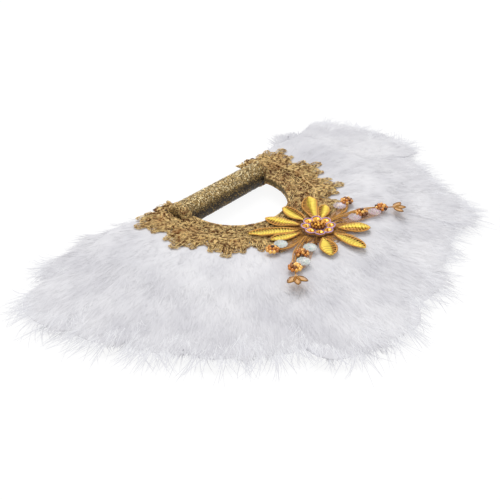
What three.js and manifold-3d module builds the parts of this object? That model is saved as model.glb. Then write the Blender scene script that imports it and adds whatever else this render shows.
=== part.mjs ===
// Feather hand fan with a D-shaped grip.
// A half-ring of two glued boards carries a padded round handle across its ends. Long plumes are clamped by
// their quills between the boards, a fringe of short down covers them front and back, lace hides the roots,
// and a beaded flower is sewn on the front. Millimetres, +Z up, lying on its back.
import * as THREE from "three";
import { mergeVertices } from "three/addons/utils/BufferGeometryUtils.js";
import Module from "manifold-3d";

const wasm = await Module();
wasm.setup();

// Clearances
const GAP = 0.3; // between pieces that touch
const DOWN_GAP = 1.2; // between the fringes and the plumes they lie on
const SEWN_GAP = 0.6; // between the net and the pieces sewn on it
const OVERRUN = 5; // how far a cutter runs past what it cuts
const WELD = 0.001; // corners closer than this are one

// Half-ring boards, centred a little beyond the handle's axis
const HOLE_RADIUS = 54;
const ARC_CENTRE_Y = 21;
const BOARD_WIDTH = 35;
const BOARD_THICKNESS = 2;
const BOARD_END_DROP = 18; // how far the ends run past the handle's axis
const BOARD_CORNER = 5; // cut off each corner of the ends

// Ribbon folded over the boards' edge in the hand hole
const BINDING_THICKNESS = 0.6;
const BINDING_FLANGE = 3;

// Handle: a stiff pipe, a foam sleeve and a glitter cloth cover, slotted at both ends for the boards
const PIPE_RADIUS = 9.5;
const PIPE_WALL = 2.5;
const HANDLE_LAP = 14; // how far the handle reaches over the boards at each end
const FOAM_WALL = 2.2;
const COVER_WALL = 1.1;
const COVER_END_RADIUS = 3;

// Plumes of the long row
const PLUME_COUNT = 17;
const PLUME_FIRST_DEGREES = -14;
const PLUME_LAST_DEGREES = 194;
const PLUME_REACH = 240; // from the ring's centre to the tip of an ordinary plume
const PLUME_REACH_SHARES = [
  0.99, 1.07, 1.03, 0.99, 0.98, 0.99, 1.07, 1.05, 0.96, 0.92, 0.97, 1.02, 0.98, 0.99, 1.08, 1.06, 1.0,
];
const PLUME_HALF_WIDTH = 27;
const PLUME_TIP_SHARE = 0.45; // the tip's width, of the full width
const PLUME_THICKNESS = 13;
const PLUME_TIP_THICKNESS = 3;
const PLUME_SWELL = 55; // over this length a plume reaches its full thickness
const PLUME_DROOP = 6; // how far the row sinks from root to tip
const PLUME_ROUND_SHARE = 0.82; // the tip's rounding starts here along the plume
const PLUME_RING_SHARES = [0, 0.14, 0.27, 0.45, 0.82, 0.91, 0.97, 1];
const QUILL_THICKNESS = 1.2;
const QUILL_LENGTH = 18;

// Fringes of short down, sewn to tapes on the front and back boards
const FRINGE_FIRST_DEGREES = -22;
const FRINGE_LAST_DEGREES = 202;
const FRINGE_REACH = 184;
const FRINGE_LOBES = 13;
const FRINGE_LOBE_STEPS = 3;
const FRINGE_LOBE_DEPTH = 7;
const FRINGE_END_DROP = 18; // the fringes are shorter by this at their two ends
const FRINGE_RIM = 1.6;
const SHOULDER_SHARE = 0.6; // a fringe lies level from its full height to here, then thins out
const FRONT_LOFT = 4.6; // how far the front fringe rises above its roots
const BACK_LOFT = 10.6;
const LOFT_LENGTH = 45; // over this length a fringe rises to its full height
const TAPE_WIDTH = 8;
const TAPE_THICKNESS = 0.7;
const ROOT_THICKNESS = 0.8;

// Lace trim
const LACE_THICKNESS = 1.2;
const LACE_SCALLOPS = 9;
const LACE_FIRST_DEGREES = -14;
const LACE_LAST_DEGREES = 194;
const LACE_REACH = 115; // from the ring's centre to the longest points
const LACE_END_DROP = 25;
const LACE_CLIMB = 10; // over this length the lace climbs from the board onto the fringe's roots
// One scallop: the place across its pitch, and the radius as a share of the reach
const SCALLOP_PITCH_SHARES = [-0.5, -0.34, -0.2, 0, 0.2, 0.34];
const SCALLOP_REACH_SHARES = [0.78, 0.93, 0.87, 1.0, 0.87, 0.93];

// Beaded flower
const FLOWER_Y = 126;
const NET_THICKNESS = 0.8;
const NET_MARGIN = 3;
const PETAL_REACH = 65;
const PETAL_HALF_WIDTH = 8;
const PETAL_THICKNESS = 2.4;
const PETAL_TIP_HALF_WIDTH = 1.2;
// Petals by direction, in degrees from straight outward, with shares of the reach and of the width
const PETAL_DEGREES = [0, 38, 119, 136, 165, 195, 224, 241, 322];
const PETAL_REACH_SHARES = [0.82, 0.74, 0.72, 1.0, 0.84, 0.84, 1.0, 0.72, 0.74];
const PETAL_WIDTH_SHARES = [0.85, 1.0, 0.85, 1.1, 0.9, 0.9, 1.1, 0.85, 1.0];
const PETAL_RING_SHARES = [0, 0.1, 0.25, 0.42, 0.6, 0.76, 0.89, 1];
const ROSETTE_RADIUS = 16.5;
const ROSETTE_LOBES = 8;
const ROSETTE_LOBE_DEPTH = 2;
const ROSETTE_THICKNESS = 3;
const ROSETTE_BEADS_RADIUS = 8;
const ROSETTE_BEADS_HEIGHT = 3.6;

// Sprigs beside the flower, mirrored on the left and right
const STEM_WIDTH = 2.6;
const STEM_THICKNESS = 1.8;
const STEM_SIDES = 6;
const CLUSTER_RADIUS = 5;
const CLUSTER_HEIGHT = 4.6;
const SEQUIN_RADIUS = 6.4;
const SEQUIN_THICKNESS = 0.5;
const SEQUIN_DEPTH = 1.4;
const SPRIG_SPAN = 84; // from the middle line to the outermost loop
const SPRIG_RISE = 52; // from the flower's centre to the outermost loop
// Places on a sprig, across as shares of the span and outward as shares of the rise
const CLUSTER_SPAN_SHARES = [0.68, 0.55, 0.8];
const CLUSTER_RISE_SHARES = [-0.15, 0.33, 0.5];
const STEM_SPAN_SHARES = [0.39, 0.57, 0.71];
const STEM_RISE_SHARES = [0.1, 0.19, 0.37];
const BRANCH_SPAN_SHARES = [0.38, 0.54];
const BRANCH_RISE_SHARES = [0.02, 0.03];
const KNOT_SPAN_SHARE = 0.91;
const KNOT_RISE_SHARE = 0.66;
const KNOT_RADIUS = 1.8;
const LOOP_DEGREES = [2, 50, 98];
const LOOP_LENGTH = 12;
const LOOP_HALF_WIDTH = 3;
const LOOP_CORD = 1.1;

// Radii and heights that follow from the sizes above
const BOARD_INNER_RADIUS = HOLE_RADIUS + BINDING_THICKNESS + GAP;
const BOARD_OUTER_RADIUS = HOLE_RADIUS + BOARD_WIDTH;
const BOARD_LOW = QUILL_THICKNESS / 2 + GAP;
const BOARD_TOP = BOARD_LOW + BOARD_THICKNESS;
const HOLE_HALF_CHORD = Math.sqrt(HOLE_RADIUS ** 2 - ARC_CENTRE_Y ** 2);
const HANDLE_HALF_LENGTH = HOLE_HALF_CHORD + HANDLE_LAP;
const SLOT_HALF_HEIGHT = BOARD_TOP + GAP;
const SLOT_START = HOLE_HALF_CHORD - GAP;
const FOAM_RADIUS = PIPE_RADIUS + GAP + FOAM_WALL;
const GRIP_RADIUS = FOAM_RADIUS + GAP + COVER_WALL;
const GRIP_HALF_LENGTH = HANDLE_HALF_LENGTH + GAP + COVER_WALL;
const TAPE_OUTER_RADIUS = BOARD_OUTER_RADIUS;
const TAPE_INNER_RADIUS = TAPE_OUTER_RADIUS - TAPE_WIDTH;
const TAPE_LOW = BOARD_TOP + GAP;
const ROOT_LOW = TAPE_LOW + TAPE_THICKNESS + GAP;
const ROOT_TOP = ROOT_LOW + ROOT_THICKNESS;
const LACE_INNER_RADIUS = HOLE_RADIUS + BINDING_FLANGE + GAP;
const CLIMB_START = TAPE_INNER_RADIUS - LACE_CLIMB;
const SWELL_END = BOARD_OUTER_RADIUS + LOFT_LENGTH;
// Radii at which everything lying on the front fringe changes slope
const DECK_RADII = [
  CLIMB_START,
  TAPE_INNER_RADIUS,
  BOARD_OUTER_RADIUS,
  (BOARD_OUTER_RADIUS + LACE_REACH) / 2,
  LACE_REACH,
  SWELL_END,
];
const PLUME_START = BOARD_OUTER_RADIUS + GAP;
const FRONT_SPACE = GRIP_RADIUS * 2; // higher than anything on the front

const RING_SEGMENTS = 54;
const ROUND_SEGMENTS = 32;
const ARC_SEGMENTS = 18;
const SMALL_SEGMENTS = 12;

// Finishes
const finish = (color, roughness, metalness = 0) =>
  new THREE.MeshStandardMaterial({ color, roughness, metalness });
const GREYBOARD = finish(0x9a8f80, 0.9);
const WHITE_PLASTIC = finish(0xe8e6e0, 0.5);
const FOAM = finish(0xd8d4cc, 0.95);
const GLITTER_CLOTH = finish(0xa8874a, 0.35, 0.7);
const TAUPE_RIBBON = finish(0x8a7a68, 0.6);
const COTTON_TAPE = finish(0xf2f0ea, 0.9);
const GOLD_LACE = finish(0xb8913f, 0.4, 0.6);
const WHITE_DOWN = finish(0xe6e5ea, 0.95);
const ORGANZA = finish(0xc99a6b, 0.6);
const YELLOW_SATIN = finish(0xf0c832, 0.3, 0.3);
const LILAC_SEQUIN = finish(0xcfa6c8, 0.25, 0.3);
const GOLD_BEAD = finish(0xc98a2a, 0.2, 0.5);
const COPPER_CORD = finish(0x9c5a32, 0.4, 0.4);
const PEARL_SEQUIN = finish(0xcfe8e4, 0.15, 0.2);

const { degToRad: radians, smoothstep: smooth, lerp } = THREE.MathUtils;

// A closed three.js geometry as a manifold-3d solid
function solidOf(geometry) {
  const bare = new THREE.BufferGeometry();
  bare.setAttribute("position", geometry.getAttribute("position"));
  if (geometry.index) bare.setIndex(geometry.index);
  const merged = mergeVertices(bare, WELD);
  return new wasm.Manifold(
    new wasm.Mesh({
      numProp: 3,
      vertProperties: new Float32Array(merged.attributes.position.array),
      triVerts: new Uint32Array(merged.index.array),
    }),
  );
}

// A manifold-3d solid as a flat-shaded three.js geometry
function geometryOf(solid) {
  const { numProp, vertProperties, triVerts } = solid.getMesh();
  const corners = new Float32Array(triVerts.length * 3);
  triVerts.forEach((vertex, i) => {
    corners.set(vertProperties.subarray(vertex * numProp, vertex * numProp + 3), i * 3);
  });
  const geometry = new THREE.BufferGeometry();
  geometry.setAttribute("position", new THREE.BufferAttribute(corners, 3));
  geometry.computeVertexNormals();
  return geometry;
}

// A closed skin over rings of points, each ring the same count, with flat ends
function loft(rings) {
  const count = rings[0].length;
  const points = rings.flat();
  const faces = [];
  for (let r = 0; r + 1 < rings.length; r += 1) {
    for (let i = 0; i < count; i += 1) {
      const a = r * count + i;
      const b = r * count + ((i + 1) % count);
      faces.push(a, b, b + count, a, b + count, a + count);
    }
  }
  const last = (rings.length - 1) * count;
  for (let i = 1; i + 1 < count; i += 1) {
    faces.push(0, i + 1, i);
    faces.push(last, last + i, last + i + 1);
  }
  const geometry = new THREE.BufferGeometry().setFromPoints(points);
  geometry.setIndex(faces);
  geometry.computeVertexNormals();
  return geometry;
}

// A section of points (radius, height) turned about the ring's centre
function turned(section) {
  const geometry = new THREE.LatheGeometry([...section, section[0]], RING_SEGMENTS);
  geometry.rotateX(Math.PI / 2);
  return solidOf(geometry.translate(0, ARC_CENTRE_Y, 0));
}

// A flat shape given thickness from one height to another
function plate(shape, low, high, curveSegments = ARC_SEGMENTS) {
  const geometry = new THREE.ExtrudeGeometry(shape, {
    depth: high - low,
    bevelEnabled: false,
    curveSegments,
  });
  return geometry.translate(0, 0, low);
}

function block(xFrom, xTo, yFrom, yTo, zFrom, zTo) {
  const geometry = new THREE.BoxGeometry(xTo - xFrom, yTo - yFrom, zTo - zFrom);
  return solidOf(geometry.translate((xFrom + xTo) / 2, (yFrom + yTo) / 2, (zFrom + zTo) / 2));
}

function rod(radius, halfLength) {
  const geometry = new THREE.CylinderGeometry(radius, radius, halfLength * 2, ROUND_SEGMENTS);
  return solidOf(geometry.rotateZ(Math.PI / 2));
}

const mirroredInZ = (solid) => solid.mirror([0, 0, 1]);
const mirroredInX = (solid) => solid.mirror([1, 0, 0]);

const fan = new THREE.Group();

function add(name, shape, material) {
  const geometry = shape.isBufferGeometry ? shape : geometryOf(shape);
  const mesh = new THREE.Mesh(geometry, material);
  mesh.name = name;
  fan.add(mesh);
}

// Distance of a point from the ring's centre
const radiusAt = (x, y) => Math.hypot(x, y - ARC_CENTRE_Y);

// Middle height and half thickness of the long row at a radius
const plumeMiddle = (radius) =>
  -PLUME_DROOP * Math.max(0, (radius - PLUME_START) / (PLUME_REACH - PLUME_START)) ** 2;
const plumeHalf = (radius) =>
  lerp(QUILL_THICKNESS, PLUME_THICKNESS, smooth(radius, PLUME_START, PLUME_START + PLUME_SWELL)) / 2;

// Height of the front fringe's upper side
const fringeTop = (radius) =>
  ROOT_TOP + FRONT_LOFT * smooth(radius, BOARD_OUTER_RADIUS, SWELL_END);

// Height of the surface on which the lace and the flower lie, straight between the deck's radii
const deckHeight = (radius) =>
  lerp(
    BOARD_TOP + GAP,
    fringeTop(radius) + GAP,
    smooth(radius, CLIMB_START, TAPE_INNER_RADIUS),
  );
function deck(radius) {
  const next = DECK_RADII.findIndex((r) => r > radius);
  if (next < 0) return deckHeight(SWELL_END);
  if (next === 0) return deckHeight(CLIMB_START);
  const from = DECK_RADII[next - 1];
  const to = DECK_RADII[next];
  const share = (radius - from) / (to - from);
  return lerp(deckHeight(from), deckHeight(to), share);
}
const netLow = (radius) => deck(radius) + LACE_THICKNESS + GAP;
const beadDeck = (radius) => netLow(radius) + NET_THICKNESS + SEWN_GAP;

// Boards

function boardShape() {
  const shape = new THREE.Shape();
  const endY = -BOARD_END_DROP;
  const drop = BOARD_END_DROP + ARC_CENTRE_Y;
  const outerX = Math.sqrt(BOARD_OUTER_RADIUS ** 2 - drop ** 2);
  const innerX = Math.sqrt(BOARD_INNER_RADIUS ** 2 - ARC_CENTRE_Y ** 2);
  const outerTurn = Math.atan2(-drop, outerX) + BOARD_CORNER / BOARD_OUTER_RADIUS;
  const innerTurn = Math.atan2(-ARC_CENTRE_Y, innerX);
  shape.moveTo(innerX + BOARD_CORNER, endY);
  shape.lineTo(outerX - BOARD_CORNER, endY);
  shape.absarc(0, ARC_CENTRE_Y, BOARD_OUTER_RADIUS, outerTurn, Math.PI - outerTurn, false);
  shape.lineTo(-outerX + BOARD_CORNER, endY);
  shape.lineTo(-innerX - BOARD_CORNER, endY);
  shape.lineTo(-innerX, endY + BOARD_CORNER);
  shape.absarc(0, ARC_CENTRE_Y, BOARD_INNER_RADIUS, Math.PI - innerTurn, innerTurn, true);
  shape.lineTo(innerX, endY + BOARD_CORNER);
  return shape;
}

add("front_board", plate(boardShape(), BOARD_LOW, BOARD_TOP), GREYBOARD);
add("back_board", plate(boardShape(), -BOARD_TOP, -BOARD_LOW), GREYBOARD);

// Ribbon round the hand hole, folded over both boards' edges and stopping clear of the handle

function binding() {
  const flangeRadius = HOLE_RADIUS + BINDING_FLANGE;
  const inside = BOARD_TOP + GAP;
  const outside = inside + BINDING_THICKNESS;
  const wall = HOLE_RADIUS + BINDING_THICKNESS;
  const section = [
    new THREE.Vector2(HOLE_RADIUS, -outside),
    new THREE.Vector2(flangeRadius, -outside),
    new THREE.Vector2(flangeRadius, -inside),
    new THREE.Vector2(wall, -inside),
    new THREE.Vector2(wall, inside),
    new THREE.Vector2(flangeRadius, inside),
    new THREE.Vector2(flangeRadius, outside),
    new THREE.Vector2(HOLE_RADIUS, outside),
  ];
  const reach = flangeRadius + OVERRUN;
  const kept = block(-reach, reach, GRIP_RADIUS + GAP, ARC_CENTRE_Y + reach, -reach, reach);
  return turned(section).intersect(kept);
}

add("hole_binding", binding(), TAUPE_RIBBON);

// Handle

function slotted(body) {
  const far = GRIP_HALF_LENGTH + OVERRUN;
  const wide = GRIP_RADIUS + OVERRUN;
  const slot = block(SLOT_START, far, -wide, wide, -SLOT_HALF_HEIGHT, SLOT_HALF_HEIGHT);
  return body.subtract(slot).subtract(mirroredInX(slot));
}

function sleeve(outerRadius, innerRadius, halfLength) {
  return slotted(rod(outerRadius, halfLength).subtract(rod(innerRadius, halfLength + OVERRUN)));
}

// The cover is drawn over the ends, so it is a closed round form with rounded ends and a hollow
function gripCover() {
  const side = GRIP_HALF_LENGTH - COVER_END_RADIUS;
  const outline = [new THREE.Vector2(0, -GRIP_HALF_LENGTH)];
  const steps = 4;
  for (let i = 0; i <= steps; i += 1) {
    const turn = (i / steps) * (Math.PI / 2);
    outline.push(
      new THREE.Vector2(
        GRIP_RADIUS - COVER_END_RADIUS + COVER_END_RADIUS * Math.sin(turn),
        -side - COVER_END_RADIUS * Math.cos(turn),
      ),
    );
  }
  const mirrored = outline.map((p) => new THREE.Vector2(p.x, -p.y)).reverse();
  const outer = new THREE.LatheGeometry([...outline, ...mirrored], ROUND_SEGMENTS);
  const skin = solidOf(outer.rotateZ(Math.PI / 2));
  return slotted(skin.subtract(rod(FOAM_RADIUS + GAP, HANDLE_HALF_LENGTH + GAP)));
}

add("handle_core", sleeve(PIPE_RADIUS, PIPE_RADIUS - PIPE_WALL, HANDLE_HALF_LENGTH), WHITE_PLASTIC);
add("grip_foam", sleeve(FOAM_RADIUS, PIPE_RADIUS + GAP, HANDLE_HALF_LENGTH), FOAM);
add("grip_cover", gripCover(), GLITTER_CLOTH);

// Tapes that carry the fringes

function tape() {
  const shape = new THREE.Shape();
  const from = radians(FRINGE_FIRST_DEGREES);
  const to = radians(FRINGE_LAST_DEGREES);
  shape.absarc(0, ARC_CENTRE_Y, TAPE_OUTER_RADIUS, from, to, false);
  shape.absarc(0, ARC_CENTRE_Y, TAPE_INNER_RADIUS, to, from, true);
  return solidOf(plate(shape, TAPE_LOW, TAPE_LOW + TAPE_THICKNESS));
}

add("front_tape", tape(), COTTON_TAPE);
add("back_tape", mirroredInZ(tape()), COTTON_TAPE);

// Long plumes: a quill between the boards and a flat, rounded body of down

const PLUME_PITCH = radians(PLUME_LAST_DEGREES - PLUME_FIRST_DEGREES) / (PLUME_COUNT - 1);
// Points round a plume: across as a share of the half width, and up as a share of the half thickness
const PLUME_SECTION_SHARES = [
  [-1, -0.3],
  [-0.55, -1],
  [0.55, -1],
  [1, -0.3],
  [1, 0.3],
  [0.55, 1],
  [-0.55, 1],
  [-1, 0.3],
];

function plume(index) {
  const direction = radians(PLUME_FIRST_DEGREES) + index * PLUME_PITCH;
  const tip = PLUME_REACH * PLUME_REACH_SHARES[index];
  const wedge = Math.tan(PLUME_PITCH / 2);
  const ring = (along, halfWidth, halfThickness) =>
    PLUME_SECTION_SHARES.map(([across, up]) => {
      const side = across * halfWidth;
      return new THREE.Vector3(
        along * Math.cos(direction) - side * Math.sin(direction),
        ARC_CENTRE_Y + along * Math.sin(direction) + side * Math.cos(direction),
        plumeMiddle(Math.hypot(along, side)) + up * halfThickness,
      );
    });
  const quill = QUILL_THICKNESS / 2;
  const rings = [
    ring(PLUME_START - QUILL_LENGTH, quill, quill),
    ring(PLUME_START, quill, quill),
  ];
  for (const share of PLUME_RING_SHARES) {
    const along = lerp(PLUME_START + GAP, tip, share);
    const past = Math.max(0, (share - PLUME_ROUND_SHARE) / (1 - PLUME_ROUND_SHARE));
    const round = Math.sqrt(1 - past ** 2);
    const halfWidth = PLUME_HALF_WIDTH * Math.max(round, PLUME_TIP_SHARE);
    const halfThickness = lerp(PLUME_TIP_THICKNESS / 2, plumeHalf(along), round);
    rings.push(ring(along, Math.min(halfWidth, along * wedge - GAP), halfThickness));
  }
  return loft(rings);
}

for (let i = 0; i < PLUME_COUNT; i += 1) {
  add(`plume_${String(i + 1).padStart(2, "0")}`, plume(i), WHITE_DOWN);
}

// Fringes: a closed section carried round the ring, its outer edge in lobes

// Its section out to a given reach, as points (radius, height): under side outward, then upper side back
function fringeSection(front, reach) {
  const sign = front ? 1 : -1;
  const floor = (radius) => sign * plumeMiddle(radius) + plumeHalf(radius) + DOWN_GAP;
  const extra = front ? 0 : BACK_LOFT - FRONT_LOFT;
  const roof = (radius) => fringeTop(radius) + extra * smooth(radius, LACE_REACH, SWELL_END);
  const shoulder = lerp(SWELL_END, reach, SHOULDER_SHARE);
  const under = [TAPE_INNER_RADIUS, ...DECK_RADII.slice(2), shoulder, reach].map((radius) => [
    radius,
    Math.max(ROOT_LOW, floor(radius)),
  ]);
  const top = [...DECK_RADII.slice(1), shoulder].map((radius) => [radius, roof(radius)]);
  return [...under, [reach, floor(reach) + FRINGE_RIM], ...top.reverse()];
}

function fringe(front) {
  const from = radians(FRINGE_LAST_DEGREES);
  const to = radians(FRINGE_FIRST_DEGREES);
  const steps = FRINGE_LOBES * FRINGE_LOBE_STEPS;
  const rings = [];
  for (let i = 0; i <= steps; i += 1) {
    const share = i / steps;
    const angle = lerp(from, to, share);
    const dip = 1 - Math.abs(Math.sin(share * FRINGE_LOBES * Math.PI));
    const end = 1 - smooth(Math.min(share, 1 - share), 0, 1 / FRINGE_LOBES);
    const reach = FRINGE_REACH - FRINGE_LOBE_DEPTH * dip - FRINGE_END_DROP * end;
    rings.push(
      fringeSection(front, reach).map(
        ([radius, height]) =>
          new THREE.Vector3(
            radius * Math.cos(angle),
            ARC_CENTRE_Y + radius * Math.sin(angle),
            height,
          ),
      ),
    );
  }
  const solid = solidOf(loft(rings));
  return front ? solid : mirroredInZ(solid);
}

add("front_fringe", fringe(true), WHITE_DOWN);
add("back_fringe", fringe(false), WHITE_DOWN);

// Lace: a thin skin that follows the deck, cut to a scalloped outline and notched round the handle

function skinOnDeck(fromRadius, toRadius, low, thickness) {
  const between = DECK_RADII.filter((radius) => radius > fromRadius && radius < toRadius);
  const radii = [fromRadius, ...between, toRadius];
  const under = radii.map((radius) => new THREE.Vector2(radius, low(radius)));
  const over = radii.map((radius) => new THREE.Vector2(radius, low(radius) + thickness));
  return turned([...under, ...over.reverse()]);
}

function laceShape() {
  const shape = new THREE.Shape();
  const pitch = radians(LACE_LAST_DEGREES - LACE_FIRST_DEGREES) / (LACE_SCALLOPS - 1);
  const first = radians(LACE_FIRST_DEGREES);
  const points = [];
  for (let i = 0; i < LACE_SCALLOPS; i += 1) {
    SCALLOP_PITCH_SHARES.forEach((across, k) => {
      const angle = first + (i + across) * pitch;
      const radius = LACE_REACH * SCALLOP_REACH_SHARES[k];
      points.push(
        new THREE.Vector2(radius * Math.cos(angle), ARC_CENTRE_Y + radius * Math.sin(angle)),
      );
    });
  }
  const endY = -LACE_END_DROP;
  const kept = points.filter((p) => p.y > endY);
  const right = kept[0];
  const left = kept[kept.length - 1];
  shape.moveTo(0, endY);
  shape.lineTo(right.x, endY);
  kept.forEach((p) => shape.lineTo(p.x, p.y));
  shape.lineTo(left.x, endY);
  shape.closePath();
  return shape;
}

function lace() {
  const outline = solidOf(plate(laceShape(), 0, FRONT_SPACE));
  const skin = skinOnDeck(LACE_INNER_RADIUS, LACE_REACH, deck, LACE_THICKNESS);
  const handle = rod(GRIP_RADIUS + GAP, GRIP_HALF_LENGTH + GAP);
  const innerX = HOLE_HALF_CHORD + BINDING_THICKNESS + GAP;
  const grasp = block(-innerX, innerX, -LACE_END_DROP - OVERRUN, GRIP_RADIUS, 0, FRONT_SPACE);
  return skin.intersect(outline).subtract(handle).subtract(grasp);
}

add("front_lace", lace(), GOLD_LACE);
add("back_lace", mirroredInZ(lace()), GOLD_LACE);

// Flower

// A sprig's places, by shares of its span and rise, from the middle line
const sprigPoint = (spanShare, riseShare) =>
  new THREE.Vector2(SPRIG_SPAN * spanShare, FLOWER_Y + SPRIG_RISE * riseShare);
const clusterPoints = CLUSTER_SPAN_SHARES.map((share, i) =>
  sprigPoint(share, CLUSTER_RISE_SHARES[i]),
);
const knotPoint = sprigPoint(KNOT_SPAN_SHARE, KNOT_RISE_SHARE);

// Net that everything on the flower is sewn to: a disc, a lobe under each petal and an arm under each sprig
function net() {
  const lobe = (length, halfWidth, turn) => {
    const oval = new THREE.Shape();
    oval.absellipse(0, length / 2, halfWidth, length / 2, 0, Math.PI * 2);
    const geometry = plate(oval, 0, FRONT_SPACE, SMALL_SEGMENTS / 2).rotateZ(turn);
    return solidOf(geometry.translate(0, FLOWER_Y, 0));
  };
  const disc = new THREE.Shape();
  disc.absarc(0, FLOWER_Y, ROSETTE_RADIUS + NET_MARGIN, 0, Math.PI * 2, false);
  let outline = solidOf(plate(disc, 0, FRONT_SPACE, SMALL_SEGMENTS));
  PETAL_DEGREES.forEach((degrees, i) => {
    const length = PETAL_REACH * PETAL_REACH_SHARES[i] - NET_MARGIN;
    outline = outline.add(lobe(length, PETAL_HALF_WIDTH, -radians(degrees)));
  });
  [knotPoint, clusterPoints[0]].forEach((end) => {
    const turn = Math.atan2(end.y - FLOWER_Y, end.x) - Math.PI / 2;
    const length = Math.hypot(end.x, end.y - FLOWER_Y);
    const arm = lobe(length, CLUSTER_RADIUS * 2, turn);
    outline = outline.add(arm).add(mirroredInX(arm));
  });
  clusterPoints.forEach((p) => {
    const spot = new THREE.Shape();
    spot.absarc(p.x, p.y, CLUSTER_RADIUS + NET_MARGIN, 0, Math.PI * 2, false);
    const pad = solidOf(plate(spot, 0, FRONT_SPACE, SMALL_SEGMENTS / 2));
    outline = outline.add(pad).add(mirroredInX(pad));
  });
  const reach = radiusAt(SPRIG_SPAN, FLOWER_Y + SPRIG_RISE) + OVERRUN;
  const skin = skinOnDeck(LACE_INNER_RADIUS, reach, netLow, NET_THICKNESS);
  return skin.intersect(outline);
}

add("applique_net", net(), ORGANZA);

// Points round a petal: across as a share of the half width, and up as a share of the thickness
const PETAL_SECTION_SHARES = [
  [0, 1],
  [-0.6, 0.85],
  [-1, 0.4],
  [-1, 0],
  [0, 0],
  [1, 0],
  [1, 0.4],
  [0.6, 0.85],
];

function petal(index) {
  const count = PETAL_DEGREES.length;
  const degrees = PETAL_DEGREES[index];
  const after = (PETAL_DEGREES[(index + 1) % count] - degrees + 360) % 360;
  const before = (degrees - PETAL_DEGREES[(index + count - 1) % count] + 360) % 360;
  const direction = radians(90 - degrees);
  const start = ROSETTE_RADIUS + ROSETTE_LOBE_DEPTH + GAP;
  const tip = PETAL_REACH * PETAL_REACH_SHARES[index];
  const wide = PETAL_HALF_WIDTH * PETAL_WIDTH_SHARES[index];
  const rings = PETAL_RING_SHARES.map((share) => {
    const along = lerp(start, tip, share);
    const leaf = Math.max(wide * Math.sin(Math.PI * share ** 0.8) ** 0.7, PETAL_TIP_HALF_WIDTH);
    const limit = (apart) => along * Math.tan(radians(Math.min(apart, 90) / 2)) - GAP;
    const leftHalf = Math.min(leaf, limit(before));
    const rightHalf = Math.min(leaf, limit(after));
    const swell = lerp(0.5, 1, Math.sin(Math.PI * share));
    return PETAL_SECTION_SHARES.map(([across, up]) => {
      const side = across * (across > 0 ? leftHalf : rightHalf);
      const x = along * Math.cos(direction) - side * Math.sin(direction);
      const y = FLOWER_Y + along * Math.sin(direction) + side * Math.cos(direction);
      const low = beadDeck(radiusAt(x, y));
      return new THREE.Vector3(x, y, low + up * swell * PETAL_THICKNESS);
    });
  });
  return loft(rings);
}

PETAL_DEGREES.forEach((degrees, i) => add(`petal_${i + 1}`, petal(i), YELLOW_SATIN));

// Highest point of the deck under a round piece, so that the piece clears it all over
const deckUnder = (x, y, radius) => beadDeck(radiusAt(x, y) + radius);

function rosette() {
  const shape = new THREE.Shape();
  const steps = ROSETTE_LOBES * 6;
  for (let i = 0; i <= steps; i += 1) {
    const turn = (i / steps) * Math.PI * 2;
    const lobe = Math.abs(Math.cos((turn * ROSETTE_LOBES) / 2));
    const radius = ROSETTE_RADIUS - ROSETTE_LOBE_DEPTH * (1 - lobe);
    const x = radius * Math.sin(turn);
    const y = FLOWER_Y + radius * Math.cos(turn);
    if (i === 0) shape.moveTo(x, y);
    else shape.lineTo(x, y);
  }
  const low = deckUnder(0, FLOWER_Y, ROSETTE_RADIUS);
  return plate(shape, low, low + ROSETTE_THICKNESS);
}

// A low dome of beads with a flat underside
function dome(x, y, low, radius, height) {
  const outline = [new THREE.Vector2(0, 0), new THREE.Vector2(radius, 0)];
  const steps = 4;
  for (let i = 1; i <= steps; i += 1) {
    const turn = (i / steps) * (Math.PI / 2);
    outline.push(new THREE.Vector2(radius * Math.cos(turn), height * Math.sin(turn)));
  }
  outline[outline.length - 1].x = 0;
  const geometry = new THREE.LatheGeometry(outline, SMALL_SEGMENTS);
  return geometry.rotateX(Math.PI / 2).translate(x, y, low);
}

add("rosette", rosette(), LILAC_SEQUIN);
const rosetteTop = deckUnder(0, FLOWER_Y, ROSETTE_RADIUS) + ROSETTE_THICKNESS + GAP;
add(
  "rosette_beads",
  dome(0, FLOWER_Y, rosetteTop, ROSETTE_BEADS_RADIUS, ROSETTE_BEADS_HEIGHT),
  GOLD_BEAD,
);

// Sprigs

// A flat cord along points on the deck
function cord(points, width, thickness) {
  const curve = new THREE.CatmullRomCurve3(
    points.map((p) => new THREE.Vector3(p.x, p.y, beadDeck(radiusAt(p.x, p.y)) + thickness / 2)),
  );
  const oval = new THREE.Shape();
  oval.absellipse(0, 0, thickness / 2, width / 2, 0, Math.PI * 2);
  const geometry = new THREE.ExtrudeGeometry(oval, {
    steps: points.length * 2,
    extrudePath: curve,
    curveSegments: STEM_SIDES / 2,
  });
  return solidOf(geometry);
}

function stem() {
  const root = new THREE.Vector2(ROSETTE_RADIUS + GAP + STEM_WIDTH, FLOWER_Y);
  const main = STEM_SPAN_SHARES.map((share, i) => sprigPoint(share, STEM_RISE_SHARES[i]));
  const branch = BRANCH_SPAN_SHARES.map((share, i) => sprigPoint(share, BRANCH_RISE_SHARES[i]));
  const stop = (from, to) => {
    const away = from.clone().sub(to).setLength(CLUSTER_RADIUS + GAP + STEM_WIDTH / 2);
    return to.clone().add(away);
  };
  const mainCord = [root, ...main, stop(main[main.length - 1], clusterPoints[2])];
  const branchCord = [root, ...branch, stop(branch[branch.length - 1], clusterPoints[0])];
  return cord(mainCord, STEM_WIDTH, STEM_THICKNESS).add(
    cord(branchCord, STEM_WIDTH, STEM_THICKNESS),
  );
}

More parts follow.
